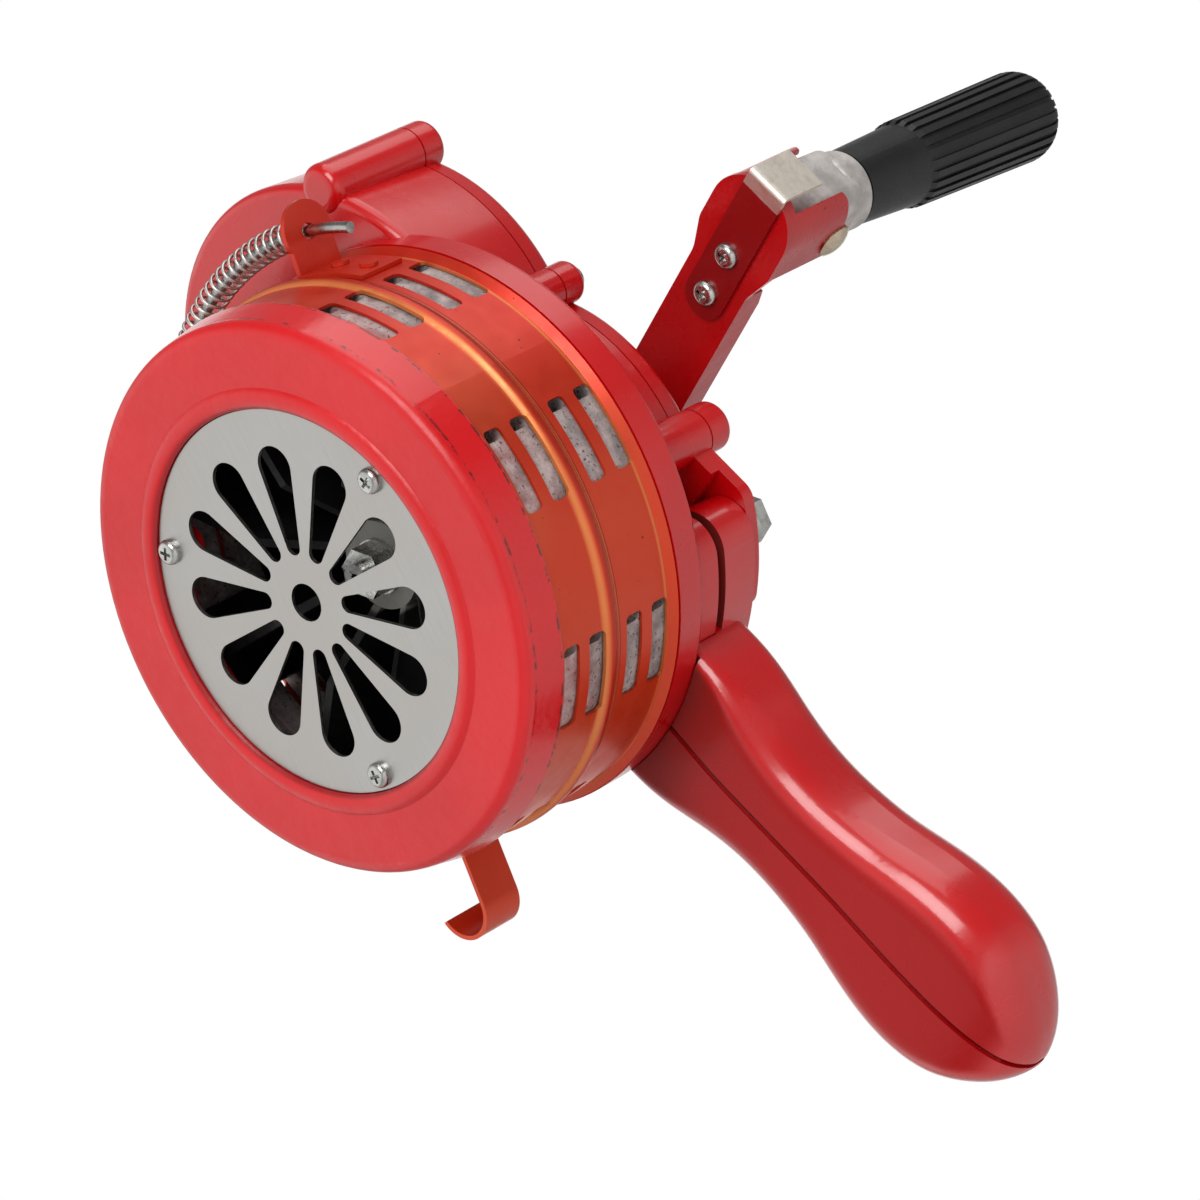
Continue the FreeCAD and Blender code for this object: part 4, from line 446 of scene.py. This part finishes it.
def paint_nodes():
    """Give every node its material; those not named here are zinc plated fasteners."""
    zinc = plated("zinc_plate", rgb(196, 196, 192), rgb(158, 158, 154))
    turned = plated("turned_steel", rgb(176, 176, 174), rgb(132, 132, 130), 0.2, 0.36)
    wire = plated("spring_wire", rgb(206, 203, 198), rgb(160, 156, 150), 0.26, 0.42)
    bronze = plated("bronze", rgb(176, 140, 86), rgb(140, 104, 60), 0.3, 0.5)
    nickel = plated("nickel", rgb(216, 200, 176), rgb(184, 166, 142))
    gear = cast_metal("gear_steel", rgb(120, 120, 120), rgb(84, 84, 84), 1.0, 0.3, 0.45)
    aluminium = cast_metal("cast_aluminium", rgb(206, 200, 195), rgb(172, 167, 163), 0.6, 0.5, 0.7)
    looks = (
        (ring_paint(), "drum_casting"),
        (brushed_steel(), "intake_grille"),
        (gloss_red("gloss_red_paint"), "gear_case gear_cover"),
        (gloss_red("handle_red_paint", True), "grip_left grip_right"),
        (rubber(), "cover_gasket"),
        (copper_lacquer("copper_lacquer", True), "shutter_band"),
        (copper_lacquer("orange_lacquer"), "shutter_lug trigger shutter_rivets"),
        (dark_rotor(), "impeller"),
        (dark_red_paint(), "rod_anchor crank_arm hinge_bracket"),
        (latch_metal(), "latch_spring"),
        (nickel, "hinge_pin"),
        (aluminium, "grip_ferrule"),
        (black_plastic(), "grip_sleeve"),
        (wire, "return_spring spindle_clip"),
        (bronze, "crank_bush countershaft_bush_front countershaft_bush_rear"),
        (gear, "rotor_pinion countershaft_gear countershaft_pinion crank_gear"),
        (turned, "guide_rod rotor_shaft rotor_bearings countershaft crank_shaft grip_spindle"),
    )
    chosen = {name: material for material, names in looks for name in names.split()}
    for name, node in nodes.items():
        node.data.materials.clear()
        node.data.materials.append(chosen.get(name, zinc))


def shade_smooth():
    """Smooth shading on every face of the CAD's meshes, whose own normals keep the edges."""
    for node in nodes.values():
        for polygon in node.data.polygons:
            polygon.use_smooth = True


# Stage
def build_stage():
    bpy.ops.mesh.primitive_plane_add(size=FLOOR_SIZE, location=(0, 0, FLOOR_Z))
    floor = bpy.context.object
    floor.name = "floor"
    s = Shader("pale_floor")
    s.output("Base Color", s.mix(s.noise(3.0), FLOOR_SHADE, FLOOR_PALE))
    s.constants(Roughness=0.8)
    floor.data.materials.append(s.material)


def build_world():
    """Studio as light from all round: dim grey, white behind the siren, pale at its front left."""
    world = bpy.data.worlds.new("studio")
    bpy.context.scene.world = world
    world.use_nodes = True
    tree = world.node_tree
    heading = tree.nodes.new("ShaderNodeTexCoord").outputs["Generated"]
    brightest = tree.nodes.new("ShaderNodeMath")
    brightest.operation = "MAXIMUM"
    for socket, (towards, low, high, level) in zip(brightest.inputs, WORLD_PATCHES):
        aim = tree.nodes.new("ShaderNodeVectorMath")
        aim.operation = "DOT_PRODUCT"
        aim.inputs[1].default_value = towards
        tree.links.new(heading, aim.inputs[0])
        patch = tree.nodes.new("ShaderNodeMapRange")
        patch.interpolation_type = "SMOOTHSTEP"
        limits = {"From Min": low, "From Max": high, "To Min": WORLD_LEVEL, "To Max": level}
        for key, number in limits.items():
            patch.inputs[key].default_value = number
        tree.links.new(aim.outputs["Value"], patch.inputs["Value"])
        tree.links.new(patch.outputs["Result"], socket)
    background = tree.nodes["Background"]
    background.inputs["Color"].default_value = (1.0, 1.0, 1.0, 1.0)
    tree.links.new(brightest.outputs[0], background.inputs["Strength"])


def build_lights():
    """Area lights that face the middle of the drum."""
    target = FACE + Vector((0.0, DRUM_DEPTH, 0.0))
    for name, (offset, width, height, power) in LIGHTS.items():
        light = bpy.data.lights.new(name, "AREA")
        light.shape = "RECTANGLE"
        light.size = width
        light.size_y = height
        light.energy = power
        lamp = bpy.data.objects.new(name, light)
        lamp.location = target + offset
        lamp.rotation_euler = (-offset).to_track_quat("-Z", "Y").to_euler()
        bpy.context.scene.collection.objects.link(lamp)


def build_camera():
    data = bpy.data.cameras.new("camera")
    data.lens = LENS_MM
    data.sensor_width = SENSOR_MM
    data.clip_end = CLIP_END
    camera = bpy.data.objects.new("camera", data)
    turn = Matrix((CAMERA_RIGHT, CAMERA_UP, -CAMERA_AHEAD)).transposed().to_4x4()
    camera.matrix_world = Matrix.Translation(FACE + CAMERA_OFFSET) @ turn
    bpy.context.scene.collection.objects.link(camera)
    bpy.context.scene.camera = camera


bpy.context.scene.view_settings.view_transform = "Standard"
paint_nodes()
shade_smooth()
build_stage()
build_world()
build_lights()
build_camera()
